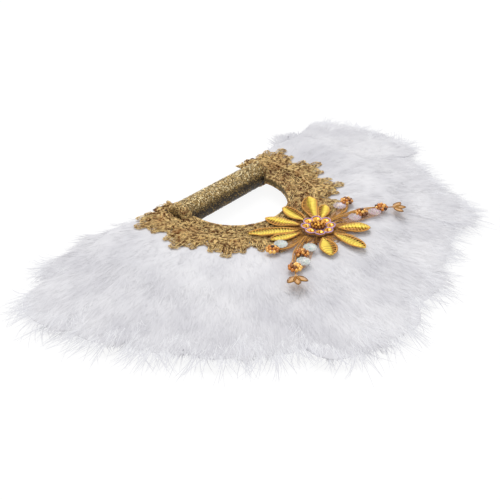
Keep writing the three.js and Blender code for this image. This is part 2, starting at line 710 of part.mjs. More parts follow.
// A cup-shaped sequin lying beside its bead cluster, towards the flower
function cupSequin(point) {
  const offset = CLUSTER_RADIUS + SEQUIN_RADIUS + GAP;
  const x = point.x - offset;
  const low = deckUnder(x, point.y, SEQUIN_RADIUS);
  const section = [
    new THREE.Vector2(0, 0),
    new THREE.Vector2(SEQUIN_RADIUS / 2, 0),
    new THREE.Vector2(SEQUIN_RADIUS, SEQUIN_DEPTH),
    new THREE.Vector2(SEQUIN_RADIUS, SEQUIN_DEPTH + SEQUIN_THICKNESS),
    new THREE.Vector2(SEQUIN_RADIUS / 2, SEQUIN_THICKNESS),
    new THREE.Vector2(0, SEQUIN_THICKNESS),
  ];
  const geometry = new THREE.LatheGeometry(section, SMALL_SEGMENTS);
  return solidOf(geometry.rotateX(Math.PI / 2).translate(x, point.y, low));
}

// Leaf-shaped loops of cord that spread from a knot at a sprig's end
function loops() {
  const leaf = (length, halfWidth) => {
    const shape = new THREE.Shape();
    shape.moveTo(-length / 2, 0);
    shape.quadraticCurveTo(0, -halfWidth * 2, length / 2, 0);
    shape.quadraticCurveTo(0, halfWidth * 2, -length / 2, 0);
    return shape;
  };
  const opening = leaf(LOOP_LENGTH - LOOP_CORD * 4, LOOP_HALF_WIDTH - LOOP_CORD);
  const shape = leaf(LOOP_LENGTH, LOOP_HALF_WIDTH);
  shape.holes.push(new THREE.Path(opening.getPoints(SMALL_SEGMENTS / 3)));
  const disc = new THREE.Shape();
  disc.absarc(0, 0, KNOT_RADIUS, 0, Math.PI * 2, false);
  let joined = solidOf(plate(disc, 0, LOOP_CORD, SMALL_SEGMENTS / 2));
  LOOP_DEGREES.forEach((degrees) => {
    const loop = plate(shape, 0, LOOP_CORD, SMALL_SEGMENTS / 3);
    loop.translate(LOOP_LENGTH / 2, 0, 0).rotateZ(radians(degrees));
    joined = joined.add(solidOf(loop));
  });
  const low = deckUnder(knotPoint.x, knotPoint.y, LOOP_LENGTH);
  return joined.translate([knotPoint.x, knotPoint.y, low]);
}

function addSprig(side, placed) {
  add(`${side}_stem`, placed(stem()), COPPER_CORD);
  clusterPoints.forEach((point, i) => {
    const low = deckUnder(point.x, point.y, CLUSTER_RADIUS);
    const beads = solidOf(dome(point.x, point.y, low, CLUSTER_RADIUS, CLUSTER_HEIGHT));
    add(`${side}_bead_cluster_${i + 1}`, placed(beads), GOLD_BEAD);
    add(`${side}_cup_sequin_${i + 1}`, placed(cupSequin(point)), PEARL_SEQUIN);
  });
  add(`${side}_cord_loops`, placed(loops()), COPPER_CORD);
}

addSprig("left", (solid) => solid);
addSprig("right", mirroredInX);

// The origin is the middle of the fan's footprint on the surface it lies on
const extent = new THREE.Box3().setFromObject(fan);
const middle = extent.getCenter(new THREE.Vector3());
fan.position.set(-middle.x, -middle.y, -extent.min.z);

const part = new THREE.Group();
part.add(fan);

export default part;
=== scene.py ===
import math

import bpy
import numpy as np
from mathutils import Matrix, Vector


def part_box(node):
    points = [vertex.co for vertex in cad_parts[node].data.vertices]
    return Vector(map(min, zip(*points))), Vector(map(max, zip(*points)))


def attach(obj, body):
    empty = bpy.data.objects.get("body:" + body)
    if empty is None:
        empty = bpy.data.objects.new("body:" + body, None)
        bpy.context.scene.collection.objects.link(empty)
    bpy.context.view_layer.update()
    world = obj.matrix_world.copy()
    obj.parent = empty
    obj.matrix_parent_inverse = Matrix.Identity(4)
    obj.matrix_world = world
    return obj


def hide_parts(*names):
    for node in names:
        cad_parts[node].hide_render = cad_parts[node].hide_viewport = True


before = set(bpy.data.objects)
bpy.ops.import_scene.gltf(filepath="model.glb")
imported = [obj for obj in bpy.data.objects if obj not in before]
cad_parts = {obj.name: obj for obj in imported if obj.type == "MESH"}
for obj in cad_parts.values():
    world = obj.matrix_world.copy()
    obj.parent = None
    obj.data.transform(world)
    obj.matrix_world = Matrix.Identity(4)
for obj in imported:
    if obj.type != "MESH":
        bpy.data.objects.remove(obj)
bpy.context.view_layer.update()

# ------------------------------------------------------------
# Where the fan lies, and the camera. The fan is a half-moon hand fan on its back, and sizes are in
# millimetres from the middle of its grip: +X along the grip, +Y towards the plumes, +Z up. The camera looks
# down over the plumes' long edge, as the photograph does.

GRIP_MIDDLE = np.mean(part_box("grip_cover")[:2], axis=0)
RING_Y = 21.0  # the centre of the hand hole's arc, beyond the grip
CAMERA_SPOT, CAMERA_AIM = (477.0, 462.9, 380.9), (57.64, 91.77, 0.0)
FOCAL_PIXELS, FRAME_PIXELS = 733.0, 500.0
scene = bpy.context.scene


def placed(points):
    """Metres in the scene: the grip's middle, plus a thousandth of the millimetres."""
    return GRIP_MIDDLE + np.asarray(points, float) / 1000


def linked(name, data):
    """A new object of the scene with that data."""
    made = bpy.data.objects.new(name, data)
    scene.collection.objects.link(made)
    return made


camera = scene.camera = linked("camera", bpy.data.cameras.new("camera"))
camera.data.lens = camera.data.sensor_width * FOCAL_PIXELS / FRAME_PIXELS
camera.data.clip_start, camera.data.clip_end = 0.01, 50
camera.location = placed(CAMERA_SPOT)
look = camera.location - type(camera.location)(placed(CAMERA_AIM))
camera.rotation_euler = look.to_track_quat("Z", "Y").to_euler()

# ------------------------------------------------------------
# Studio: one soft lamp above and behind the grip, even light from all round, and a pale card underneath.
# World and card are white where the camera or a shiny piece sees them, and the card keeps a soft shadow.

SUN_FROM, SUN_STRENGTH, SUN_DEGREES = (-0.36, -0.5, 1.0), 1.05, 28
ROUND_STRENGTH, CARD_HALF = 0.74, 12.0
CARD_GLOW, GLOW_STRENGTH = 0.85, 1.06  # the share of the card's look that is plain white, and its strength


def linear(hex_colour):
    """Linear RGBA from sRGB hex: c / 12.92 up to 0.04045, above it ((c + 0.055) / 1.055) to the power 2.4."""
    c = np.array([int(hex_colour[i : i + 2], 16) for i in (0, 2, 4)]) / 255
    return (*np.where(c <= 0.04045, c / 12.92, ((c + 0.055) / 1.055) ** 2.4).tolist(), 1.0)


def fill(tree, part, values):
    """Fills a node's sockets: an output is linked, and anything else is set as the value."""
    for socket, value in values.items():
        if isinstance(value, bpy.types.NodeSocket):
            tree.links.new(value, part.inputs[socket])
        else:
            part.inputs[socket].default_value = value
    return part


def add_node(tree, kind, values=None, **settings):
    """Adds a shader node of that kind with its settings, and fills its sockets."""
    made = tree.nodes.new("ShaderNode" + kind)
    for key, value in settings.items():
        setattr(made, key, value)
    return fill(tree, made, values or {})


def maths(tree, operation, *values):
    """One step of arithmetic on numbers and outputs."""
    return add_node(tree, "Math", dict(enumerate(values)), operation=operation).outputs[0]


def seen_share(tree, share):
    """share where the camera, a reflection or a clear piece looks, and 0 for the light on things."""
    path = add_node(tree, "LightPath").outputs
    shiny = maths(tree, "MAXIMUM", path["Is Glossy Ray"], path["Is Transmission Ray"])
    return maths(tree, "MULTIPLY", maths(tree, "MAXIMUM", path["Is Camera Ray"], shiny), share)


def mixed(tree, share, low, high):
    """The colour that lies share of the way from low to high, each of them sRGB hex or an output."""
    ends = [linear(colour) if isinstance(colour, str) else colour for colour in (low, high)]
    return add_node(tree, "Mix", {0: share, 6: ends[0], 7: ends[1]}, data_type="RGBA").outputs[2]


def texture(tree, kind, scale, more=None, **settings):
    """The outputs of a texture laid out in the object's metres."""
    spot = add_node(tree, "TexCoord").outputs["Object"]
    return add_node(tree, "Tex" + kind, {"Vector": spot, "Scale": scale, **(more or {})}, **settings).outputs


def start_material(name, values):
    """A new material with its shader's plain values set, as (material, its nodes)."""
    made = bpy.data.materials.new(name)
    made.use_nodes = True
    fill(made.node_tree, made.node_tree.nodes["Principled BSDF"], values)
    return made, made.node_tree


def finish(tree, share, low, high, height=None, strength=0.5, depth=0.0003, invert=False):
    """Colours a material's shader by share, and raises bumps by height: depth metres times strength."""
    values = {"Base Color": mixed(tree, share, low, high)}
    if height is not None:
        bump = {"Height": height, "Strength": strength, "Distance": depth}
        values["Normal"] = add_node(tree, "Bump", bump, invert=invert).outputs[0]
    fill(tree, tree.nodes["Principled BSDF"], values)


def blend(tree, share, first, second, output):
    """Joins two shaders by share and links them to the output."""
    both = add_node(tree, "MixShader", {0: share, 1: first.outputs[0], 2: second.outputs[0]})
    fill(tree, tree.nodes[output], {"Surface": both.outputs[0]})


scene.view_settings.view_transform = "Standard"
scene.world = bpy.data.worlds.new("studio")
scene.world.use_nodes = True
tree, white = scene.world.node_tree, linear("FFFFFF")
lights = [add_node(tree, "Background", {"Color": white, "Strength": s}) for s in (ROUND_STRENGTH, 1.0)]
blend(tree, seen_share(tree, 1.0), *lights, "World Output")

lamp = linked("soft_lamp", bpy.data.lights.new("soft_lamp", "SUN"))
lamp.data.energy, lamp.data.angle = SUN_STRENGTH, math.radians(SUN_DEGREES)
lamp.rotation_euler = type(look)(SUN_FROM).to_track_quat("Z", "Y").to_euler()

card_mesh = bpy.data.meshes.new("floor_card")
corners = [(x * CARD_HALF, y * CARD_HALF, 0.0) for x, y in ((-1, -1), (1, -1), (1, 1), (-1, 1))]
card_mesh.from_pydata(corners, [], [(0, 1, 2, 3)])
linked("floor_card", card_mesh)
# Matt white paperboard
paper, tree = start_material("white_card", {"Roughness": 0.95, "Specular IOR Level": 0.0})
finish(tree, texture(tree, "Noise", 400.0)[0], "F0F0F0", "F4F4F4")
glow = add_node(tree, "Emission", {"Color": white, "Strength": GLOW_STRENGTH})
blend(tree, seen_share(tree, CARD_GLOW), tree.nodes["Principled BSDF"], glow, "Material Output")
card_mesh.materials.append(paper)

# ------------------------------------------------------------
# Boards: two half rings of die-cut greyboard that clamp the quills between them. They are the solids' own
# shapes, all but hidden under the lace, and only their ends show beside the grip.


def dress(node_name, material):
    """Gives a solid of the frame its material."""
    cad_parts[node_name].material_slots[0].material = material


# Recycled paper pulp: a dull grey-brown with darker fibre specks about 1 mm long
greyboard, tree = start_material("greyboard", {"Roughness": 0.9})
fibres = texture(tree, "Noise", 900.0, {"Detail": 5.0})[0]
finish(tree, fibres, "7F7464", "B3A897", fibres, 0.4, 0.0002)
dress("front_board", greyboard)
dress("back_board", greyboard)

# ------------------------------------------------------------
# Tapes: cotton twill 8 mm wide, glued along the boards' outer edge on both sides. The short down is sewn to
# them. Each is a flat strip carried round the ring.

TAPE_RADII, TAPE_HEIGHTS = (81.0, 89.0), (3.2, 3.9)
FRINGE_DEGREES, TURNED_RADIUS = (-22.0, 202.0), 80


def skinned(corners, closed=False, tone=0.0, along=None):
    """A skin over rings of corners, as (paths, rings, corners round, xyz): four-sided faces between rings,
    and one over each end unless the path is closed. Sections run anticlockwise, seen along the path."""
    paths, rings, around = corners.shape[:3]
    index = np.arange(paths * rings * around).reshape(paths, rings, around)
    near = index if closed else index[:, :-1]
    far = np.roll(index, -1, 1) if closed else index[:, 1:]
    quads = np.stack([near, far, np.roll(far, -1, 2), np.roll(near, -1, 2)], -1).reshape(-1, 4)
    along = np.linspace(0, 1, rings) if along is None else np.asarray(along)
    values = {"tone": np.reshape(tone, (-1, 1, 1)), "along": along.reshape(-1, rings, 1)}
    values = {word: np.broadcast_to(value, (paths, rings, around)).ravel() for word, value in values.items()}
    ends = [] if closed else [index[:, 0], index[:, -1, ::-1]]
    return {"points": corners.reshape(-1, 3), "faces": [quads, *ends], **values}


def ring_point(radius, degrees, height):
    """A point round the ring's centre: (radius cos a, RING_Y + radius sin a, height)."""
    radius, turn, height = np.broadcast_arrays(radius, np.radians(degrees), height)
    return np.stack([radius * np.cos(turn), RING_Y + radius * np.sin(turn), height], -1)


def turned(radii, heights, degrees):
    """A section of (radius, height) carried round the ring, its length taken at TURNED_RADIUS."""
    along = np.radians(degrees) * TURNED_RADIUS
    return skinned(ring_point(radii, degrees[:, None], heights)[None], along=along)


def flipped(shape, axis=2):
    """The shape's mirror image across that axis, with faces that still point out."""
    points = shape["points"].copy()
    points[:, axis] *= -1
    return {**shape, "points": points, "faces": [f[:, ::-1] for f in shape["faces"]]}


def unit(vectors):
    """The vectors at length 1."""
    return vectors / np.linalg.norm(vectors, axis=-1, keepdims=True)


def piece(name, node, material, slot, *shapes, smooth=True, lift=None):
    """One object from several shapes. It carries each corner's tone, a number from 0 to 1 that differs from
    member to member, and how far along its path the corner lies. Hairs of a coat take the light as the coat
    does: their normals are their own plus lift times straight up, and they cast no shadow, because down lets
    the light through."""
    starts = np.cumsum([0] + [len(s["points"]) for s in shapes])
    faces = [f + start for s, start in zip(shapes, starts) for f in s["faces"]]
    sizes = np.concatenate([np.full(len(f), f.shape[1]) for f in faces])
    corners = np.concatenate([f.ravel() for f in faces]).astype(np.int32)
    mesh = bpy.data.meshes.new(name)
    mesh.vertices.add(int(starts[-1]))
    mesh.vertices.foreach_set("co", placed(np.concatenate([s["points"] for s in shapes])).ravel())
    mesh.loops.add(len(corners))
    mesh.loops.foreach_set("vertex_index", corners)
    mesh.polygons.add(len(sizes))
    mesh.polygons.foreach_set("loop_start", (np.cumsum(sizes) - sizes).astype(np.int32))
    mesh.update(calc_edges=True)
    mesh.polygons.foreach_set("use_smooth", np.full(len(sizes), smooth))
    for word in ("tone", "along"):
        values = np.concatenate([s[word] for s in shapes]).astype(np.float32)
        mesh.attributes.new(word, "FLOAT", "POINT").data.foreach_set("value", values)
    if np.any(lift):
        normals = np.empty(len(mesh.vertices) * 3, np.float32)
        mesh.vertices.foreach_get("normal", normals)
        normals = normals.reshape(-1, 3)
        normals[:, 2] += lift
        mesh.normals_split_custom_set_from_vertices(unit(normals).tolist())
    mesh.materials.append(material)
    made = linked(name, mesh)
    made.visible_shadow = lift is None
    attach(made, "root")
    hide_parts(node)
    return made


# Bleached cotton in a twill weave: ribs every 0.8 mm slant across the tape
cotton, tree = start_material("cotton_twill", {"Roughness": 0.9, "Sheen Weight": 0.2})
ribs = texture(tree, "Wave", 390.0, {"Distortion": 0.6}, bands_direction="DIAGONAL")[1]
finish(tree, ribs, "DDDAD0", "F6F4EE", ribs, 0.5, 0.0002)

(inner, outer), (low, high) = TAPE_RADII, TAPE_HEIGHTS
radii = np.array([inner, outer - 0.2, outer, outer, outer - 0.2, inner + 0.2, inner])
heights = np.array([low, low, low + 0.2, high - 0.2, high, high, high - 0.2])
tape = turned(radii, heights, np.linspace(*FRINGE_DEGREES, 160))
for side, shape in (("front", tape), ("back", flipped(tape))):
    piece(f"{side}_sewing_tape", f"{side}_tape", cotton, "cotton_tape", shape)

# ------------------------------------------------------------
# Plumes: 17 long marabou plumes, bleached white, clamped by their quills. Each has a soft body of down
# round its shaft, and barbs that bend towards the tip and end in loose wisps past it.

PLUME_DEGREES = np.linspace(-14.0, 194.0, 17)
# Where the loose ends stop, from the ring's centre, at bearings round it
END_BEARINGS = np.arange(-24, 205, 6)
LOOSE_ENDS = (
    150, 194, 232, 252, 268, 268, 257, 255, 251, 247, 251, 249, 256, 240, 242, 277, 270, 263, 232, 247,
    256, 236, 236, 231, 251, 270, 250, 254, 231, 242, 237, 261, 267, 270, 262, 256, 252, 224, 154,
)
PLUME_ROOT, PLUME_HALF_WIDTH, PLUME_HALF_THICK, PLUME_DROOP = 89.3, 27.0, 6.5, 6.0
PLUME_ASIDE_BY = 190.0  # where a trimmed plume has come to lie aside of its quill
BARBS_PER_PLUME, RIM_HAIRS_PER_PLUME, CLUMPS_PER_PLUME, WISPS_PER_CLUMP = 620, 420, 17, 5
PLUME_SIDES = {1: (-0.3, 1.0), 17: (-1.0, 0.3)}  # the outermost two are trimmed on their outer side
LOCK_SHARE, LOCK_THICK = 0.6, 0.4  # this share of barbs is clumped into flat locks 1 to 2 mm wide
FLOOR_CLEAR = -15.2  # no barb goes lower, because the fan lies there
BARB_SECTION = [(-1, -0.35), (1, -0.35), (0, 0.65)]
chance = np.random.default_rng(41)
draw = chance.random  # so many numbers from 0 to 1


def ease(value, low, high):
    """3 s squared minus 2 s cubed, where s is how far the value is from low to high, kept from 0 to 1."""
    s = np.clip((value - low) / (high - low), 0, 1)
    return s * s * (3 - 2 * s)


def spun(x, y, turn):
    """A point turned about (0, 0): (x cos a - y sin a, x sin a + y cos a)."""
    return x * np.cos(turn) - y * np.sin(turn), x * np.sin(turn) + y * np.cos(turn)


def angles(count):
    """So many even steps round a circle, in radians."""
    return np.arange(count) * 2 * np.pi / count


def circle(sides):
    """Corners of a round section, anticlockwise: (cos a, sin a)."""
    return np.stack([np.cos(angles(sides)), np.sin(angles(sides))], -1)


def from_ring(x, y):
    """Distance from the ring's centre."""
    return np.hypot(x, y - RING_Y)


def carried(section, centres, widths, heights=None, closed=False, tone=0.0):
    """A section carried along many paths: corner = path point + across x half width x sideways + up x half
    height x upward. Sideways is level and square to the path, and upward is square to both."""
    centres = np.asarray(centres, float)
    centres = centres[None] if centres.ndim == 2 else centres
    halves = widths, widths if heights is None else heights
    wide, high = [np.broadcast_to(half, centres.shape[:2])[..., None, None] for half in halves]
    ahead = np.roll(centres, -1, 1) - np.roll(centres, 1, 1) if closed else np.gradient(centres, axis=1)
    ahead /= np.linalg.norm(ahead, axis=-1, keepdims=True) + 1e-9
    sideways = unit(np.stack([ahead[..., 1] + 1e-5, -ahead[..., 0], 0 * ahead[..., 0]], -1))
    upward = np.cross(sideways, ahead)
    across, up = np.asarray(section, float).T[..., None]
    corners = centres[:, :, None] + wide * across * sideways[:, :, None] + high * up * upward[:, :, None]
    steps = np.linalg.norm(np.diff(centres, axis=1), axis=-1)
    return skinned(corners, closed, tone, np.cumsum(np.pad(steps, ((0, 0), (1, 0))), 1))


def combed(along, across, heading, curl, length, steps=4):
    """Level paths of barbs as (along, across): each sets off at the angle heading, and bends by curl over its
    length."""
    way = (np.arange(steps - 1) + 0.5) / (steps - 1)
    lean = heading[:, None] + curl[:, None] * way
    step = length[:, None] / (steps - 1)
    moves = (along, np.cos(lean) * step), (across, np.sin(lean) * step)
    return [np.cumsum(np.concatenate([start[:, None], move], 1), 1) for start, move in moves]


def barbs(turn, forward, aside, heights, thick, tone):
    """Tapered hairs along paths laid out from the ring's centre in the direction turn. Each is a low
    three-sided ridge, because barbs are flat blades that lie on their faces. Those over LOCK_THICK are locks
    of hairs: widest a third of the way along, and pointed."""
    x, y = spun(forward, aside, np.reshape(turn, (-1, 1)))
    way = np.linspace(0, 1, forward.shape[1])
    thick = thick[:, None]
    wide = thick * np.where(thick > LOCK_THICK, (0.55 + way) * (1 - 0.97 * way**2), (1 - 0.75 * way) ** 0.8)
    centres = np.stack([x, RING_Y + y, np.maximum(heights, FLOOR_CLEAR)], -1)
    return carried(BARB_SECTION, centres, wide, np.minimum(0.35 * wide, 0.14), tone=tone)


def coat_over(turn, forward, aside, low, skin, side=1.0):
    """Barbs on a skin over low, or under low for side -1: rooted 0.2 mm in it and as far above it at their
    ends. Most are locks."""
    count, steps = forward.shape
    way = np.linspace(0, 1, steps)
    proud = 0.2 - 0.4 * (1 - way) + np.abs(chance.normal(0, 0.09, count))[:, None] * way**2
    heights = low + np.reshape(side, (-1, 1)) * (skin + proud)
    lock = draw(count) < LOCK_SHARE
    thick = np.where(lock, 0.5 + 0.5 * draw(count), 0.14 + 0.1 * draw(count))
    return barbs(turn, forward, aside, heights, thick, draw(count))


def loose_end(turn, forward, aside):
    """How far out the loose ends reach on the bearing of a point."""
    return np.interp(np.degrees(turn + np.arctan2(aside, forward)), END_BEARINGS, LOOSE_ENDS)


def tufts(along, across, seed):
    """Soft relief of the down: wandering billows some 50 mm long and 30 mm wide, waves 15 mm wide between
    them, and faint locks 8 mm wide."""
    wander = 1.3 * np.sin(along / 19 + 1.3 * seed) + 0.9 * np.sin(across / 11 + 2.7 * seed)
    billows = np.sin(along / 8.5 + wander) * np.sin(across / 6.0 + 0.7 * wander + seed)
    waves = np.sin(along / 4.3 - wander + seed) * np.sin(across / 2.9 + wander)
    locks = np.sin(across / 1.3 + 1.8 * np.sin(along / 11 + seed) + wander)
    return 0.8 * billows + 0.22 * waves + 0.08 * locks


def plume_middle(radius):
    """Height of the long row's middle: it sinks with the square of the distance past the boards."""
    return -PLUME_DROOP * (np.clip(radius - PLUME_ROOT, 0, 200) / (240 - PLUME_ROOT)) ** 2 - 0.2


def plume_half_high(along, tip):
    """Half thickness of a plume's body: it swells over 55 mm and thins to a soft edge over its last third."""
    swell = 0.6 + (PLUME_HALF_THICK - 0.6) * ease(along, PLUME_ROOT, PLUME_ROOT + 55)
    return swell * np.clip(1 - np.clip((along - 0.6 * tip) / (0.345 * tip), 0, 1) ** 1.6, 0.08, 1)


def plume_half_wide(along, tip, full):
    """Half width of a plume's body: it fills its share of the arc, and closes bluntly at the tip."""
    wide = np.minimum(PLUME_HALF_WIDTH * 1.22, along * math.tan(math.radians(8.2)) - 0.4) * full
    return wide * np.sqrt(np.clip(1 - np.clip((along - 0.78 * tip) / (0.158 * tip), 0, 1) ** 3, 0.02, 1))


def plume_layout(number):
    """A plume's bearing, the distance of its tip, how far its middle lies aside, its share of the full width,
    and its two sides."""
    turn, (low, high) = math.radians(PLUME_DEGREES[number - 1]), PLUME_SIDES.get(number, (-1.0, 1.0))
    tip, aside = 0.99 * loose_end(turn, 1.0, 0.0), (low + high) / 2 * PLUME_HALF_WIDTH
    return turn, tip, aside, (high - low) / 2, low, high


def plume_skin(number, along, across, least=0.3):
    """Height of a plume's upper side over its middle, and whether a place lies on it: the flat oval's height
    times 0.9 of the half thickness, with tufts in the same share. Barbs bridge the grooves, so the oval's
    height stays over 0.72 there."""
    tip, shift, full = plume_layout(number)[1:4]
    across = across - shift * ease(along, PLUME_ROOT, PLUME_ASIDE_BY)
    wide = plume_half_wide(along, tip, full)
    oval = np.clip(1 - np.clip(across / wide, -1, 1) ** 2, least, 1) ** 0.275
    thick = 0.9 * plume_half_high(along, tip)
    return oval * (thick + tufts(along, across, number) * thick / 6), np.abs(across) < wide


def own(tree, word):
    """What each corner carries: its member's tone, or how far along the path it lies, in millimetres."""
    return add_node(tree, "Attribute", attribute_name=word).outputs["Fac"]


def ranged(tree, value, low, high, first=0.0, last=1.0):
    """first to last as the value goes from low to high."""
    return add_node(tree, "MapRange", {0: value, 1: low, 2: high, 3: first, 4: last}).outputs[0]


# Marabou down, bleached: matt white with a faint lavender-grey cast, clouded in soft patches 40 mm wide. Its
# barbs differ only a little, so that the coat looks smooth
FLUFF = {"Roughness": 1.0, "Specular IOR Level": 0.1, "Sheen Weight": 0.25}
down, tree = start_material("marabou_down", {**FLUFF, "Sheen Roughness": 0.6})
clouds = ranged(tree, texture(tree, "Noise", 24.0)[0], 0.3, 0.7, 0.0, 0.75)
finish(tree, maths(tree, "MULTIPLY_ADD", own(tree, "tone"), 0.25, clouds), "D2D1D7", "F0EFF2")
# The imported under-down: the same white, combed outwards in streaks 1.5 mm wide and 16 mm long. The streaks'
# noise is laid out by distance and bearing from the ring's centre
under_down, tree = start_material("packed_under_down", {**FLUFF, "Sheen Roughness": 0.6})
clouds = ranged(tree, texture(tree, "Noise", 24.0)[0], 0.3, 0.7, 0.1, 0.85)
spot = {0: add_node(tree, "TexCoord").outputs["Object"], 1: placed((0, RING_Y, 0)).tolist()}
spot = add_node(tree, "VectorMath", spot, operation="SUBTRACT").outputs[0]
level = add_node(tree, "VectorMath", {0: spot, 1: (1.0, 1.0, 0.0)}, operation="MULTIPLY")
far_out = add_node(tree, "VectorMath", {0: level.outputs[0]}, operation="LENGTH").outputs["Value"]
bearing = add_node(tree, "TexGradient", {"Vector": spot}, gradient_type="RADIAL").outputs["Fac"]
streaks = {"X": maths(tree, "MULTIPLY", far_out, 60.0), "Y": maths(tree, "MULTIPLY", bearing, 850.0)}
streaks = {"Vector": add_node(tree, "CombineXYZ", streaks).outputs[0], "Scale": 1.0}
fluff = add_node(tree, "TexNoise", {**streaks, "Detail": 4.0, "Distortion": 0.6}).outputs[0]
finish(tree, clouds, "D2D1D7", "F0EFF2", fluff, 0.5, 0.0008)
# Single loose barbs: the same down, coloured a shade lighter as painted light, since light passes round and
# through one on its own
loose_down, tree = start_material("loose_barbs", FLUFF)
finish(tree, own(tree, "tone"), "E6E6EA", "FAFAFC")

FLAT_OVAL = circle(40)
FLAT_OVAL[:, 1] = np.sign(FLAT_OVAL[:, 1]) * np.abs(FLAT_OVAL[:, 1]) ** 0.55
# Rim hairs each have a number of their own, and the long wisps have their clump's
clump = np.repeat(np.arange(CLUMPS_PER_PLUME), WISPS_PER_CLUMP)
clump = np.concatenate([np.arange(RIM_HAIRS_PER_PLUME) + CLUMPS_PER_PLUME, clump])
long_one, rim_count = clump < CLUMPS_PER_PLUME, len(clump)


def shared(spread, kind=chance.standard_normal):
    """A random number for each clump and single hair."""
    return (spread * kind(RIM_HAIRS_PER_PLUME + CLUMPS_PER_PLUME))[clump]


for number in range(1, len(PLUME_DEGREES) + 1):
    name = f"plume_{number:02d}"
    turn, tip, shift, full, low_side, high_side = plume_layout(number)
    outward = -9 * (number > 1), 9 * (number < 17)  # limits of lean: nothing leans out on a trimmed side
    # The body: a flattened oval carried along the shaft, wide enough to lie against the next plumes
    rounding = 0.7 * tip + 0.235 * tip * np.sin(np.linspace(0.08, 1.52, 14))
    along = np.concatenate([np.linspace(PLUME_ROOT, 0.7 * tip, 26), rounding])
    wide, thick = plume_half_wide(along, tip, full), 0.9 * plume_half_high(along, tip)
    x, y = spun(along, shift * ease(along, PLUME_ROOT, PLUME_ASIDE_BY), turn)
    body = carried(FLAT_OVAL, np.stack([x, RING_Y + y, plume_middle(along)], -1), wide, thick)
    relief = tufts(along[:, None], -wide[:, None] * FLAT_OVAL[:, 0], number) * (thick / 6)[:, None]
    body["points"][:, 2] += (relief * FLAT_OVAL[:, 1]).ravel()
    piece(f"{name}_body", name, under_down, "down", body)
    # Barbs over the body: most on the front, some on the back, with the outer ones leaning out
    count = BARBS_PER_PLUME
    start = 160 + (0.885 * tip - 160) * draw(count) ** 0.62
    lean = low_side + (high_side - low_side) * draw(count)
    aside = lean * np.minimum(PLUME_HALF_WIDTH, start * math.tan(math.radians(7.0)))
    lean = np.clip(lean, *outward)
    heading = np.radians(18 * lean + chance.normal(0, 9, count))
    curl = np.radians(-8 * lean + chance.normal(0, 14, count))
    length, limit = 18 + 18 * draw(count), 0.9 + 0.04 * draw(count)
    length = np.minimum(length, limit * loose_end(turn, start, aside) - start)
    forward, across = combed(start, aside, heading, curl, length)
    layer = np.where(draw(count) < 0.72, 1.0, -1.0)
    skin = plume_skin(number, forward, across)[0]
    coat = coat_over(turn, forward, across, plume_middle(forward), skin, layer)
    # The normals lean up in front and down behind, except behind at the rim, which is seen from above
    far_out = from_ring(*coat["points"][:, :2].T)
    on_front = np.repeat(layer > 0, len(far_out) // count)
    lift = np.where(on_front, 4.0, -4.0 * (1 - ease(far_out, 0.78 * tip, 0.87 * tip)))
    piece(f"{name}_barbs", name, down, "down", coat, lift=lift)
    # Rim: short hairs close together, and clumps of long wisps that fan out, bend and droop
    lean = low_side + shared(high_side - low_side, draw) + 0.03 * chance.normal(0, 1, rim_count)
    edge = np.sqrt(np.clip(1 - lean**2, 0, 1))
    start = tip * (0.8 + 0.11 * edge) - 14 * draw(rim_count)
    aside = lean * PLUME_HALF_WIDTH * 0.95
    lean = np.clip(lean, *outward)
    heading = np.radians(24 * lean + shared(15.0) + 7 * chance.normal(0, 1, rim_count))
    curl = np.radians(shared(30.0) + 14 * chance.normal(0, 1, rim_count))
    limit = np.where(long_one, 1.0 + 0.04 * draw(rim_count), 0.94 + 0.05 * draw(rim_count))
    length = np.where(long_one, 26 + 20 * draw(rim_count), 12 + 12 * draw(rim_count))
    length = np.minimum(length, limit * loose_end(turn, start, aside) - start)
    forward, across = combed(start, aside, heading, curl, length, 6)
    way = np.linspace(0, 1, 6)
    drop = np.where(long_one, 2.0 + shared(2.5), 0.5)[:, None] * way**2
    proud = 0.3 - 0.5 * (1 - way) + (0.3 * np.abs(shared(1.0)))[:, None] * way
    heights = plume_middle(forward) + plume_skin(number, forward, across)[0] + proud - drop
    thick = np.where(long_one, 0.34 + 0.14 * draw(rim_count), 0.2 + 0.12 * draw(rim_count))
    # The long wisps keep the darker end of the range, as painted shade that makes them read grey
    tone = draw(rim_count) * np.where(long_one, 0.4, 1.0)
    wisps = barbs(turn, forward, across, heights, thick, tone)
    piece(f"{name}_wisps", name, loose_down, "down", wisps, smooth=False, lift=0.0)

# ------------------------------------------------------------
# Fringes: short marabou sewn by its roots to the two tapes. It covers the plumes' shafts, lies level over
# them and thins out in soft lobes. The back one is deeper, and the fan lies on it.

FRINGE_REACH, FRINGE_LOBES, FRINGE_ROOT, FRINGE_ROOT_HEIGHT = 184.0, 13, 81.5, 4.2
TOP_RADII = (81.0, 89.0, 102.0, 115.0, 134.0, 152.0, 166.0, 176.0, 186.0, 200.0, 222.0, 245.0)
FRONT_HEIGHTS = (4.9, 4.9, 5.9, 7.7, 9.6, 9.3, 7.9, 5.8, 3.6, 1.4, -1.4, -4.0)
BACK_HEIGHTS = (4.9, 4.9, 5.9, 7.7, 15.0, 15.1, 14.4, 12.2, 9.8, 8.9, 8.4, 8.0)
FRONT_BARBS, BACK_BARBS, SIDE_BARBS = 5400, 2800, 700


def fringe_reach(degrees):
    """Where the short down ends: soft lobes 7 mm deep, and 28 mm shorter at the two ends."""
    share = np.clip((degrees - FRINGE_DEGREES[0]) / (FRINGE_DEGREES[1] - FRINGE_DEGREES[0]), 0, 1)
    lobe = 0.5 + 0.5 * np.cos(share * FRINGE_LOBES * 2 * np.pi + 0.9 * np.sin(share * 19))
    return FRINGE_REACH - 7 * lobe - 28 * (1 - ease(np.minimum(share, 1 - share), 0, 1 / FRINGE_LOBES))


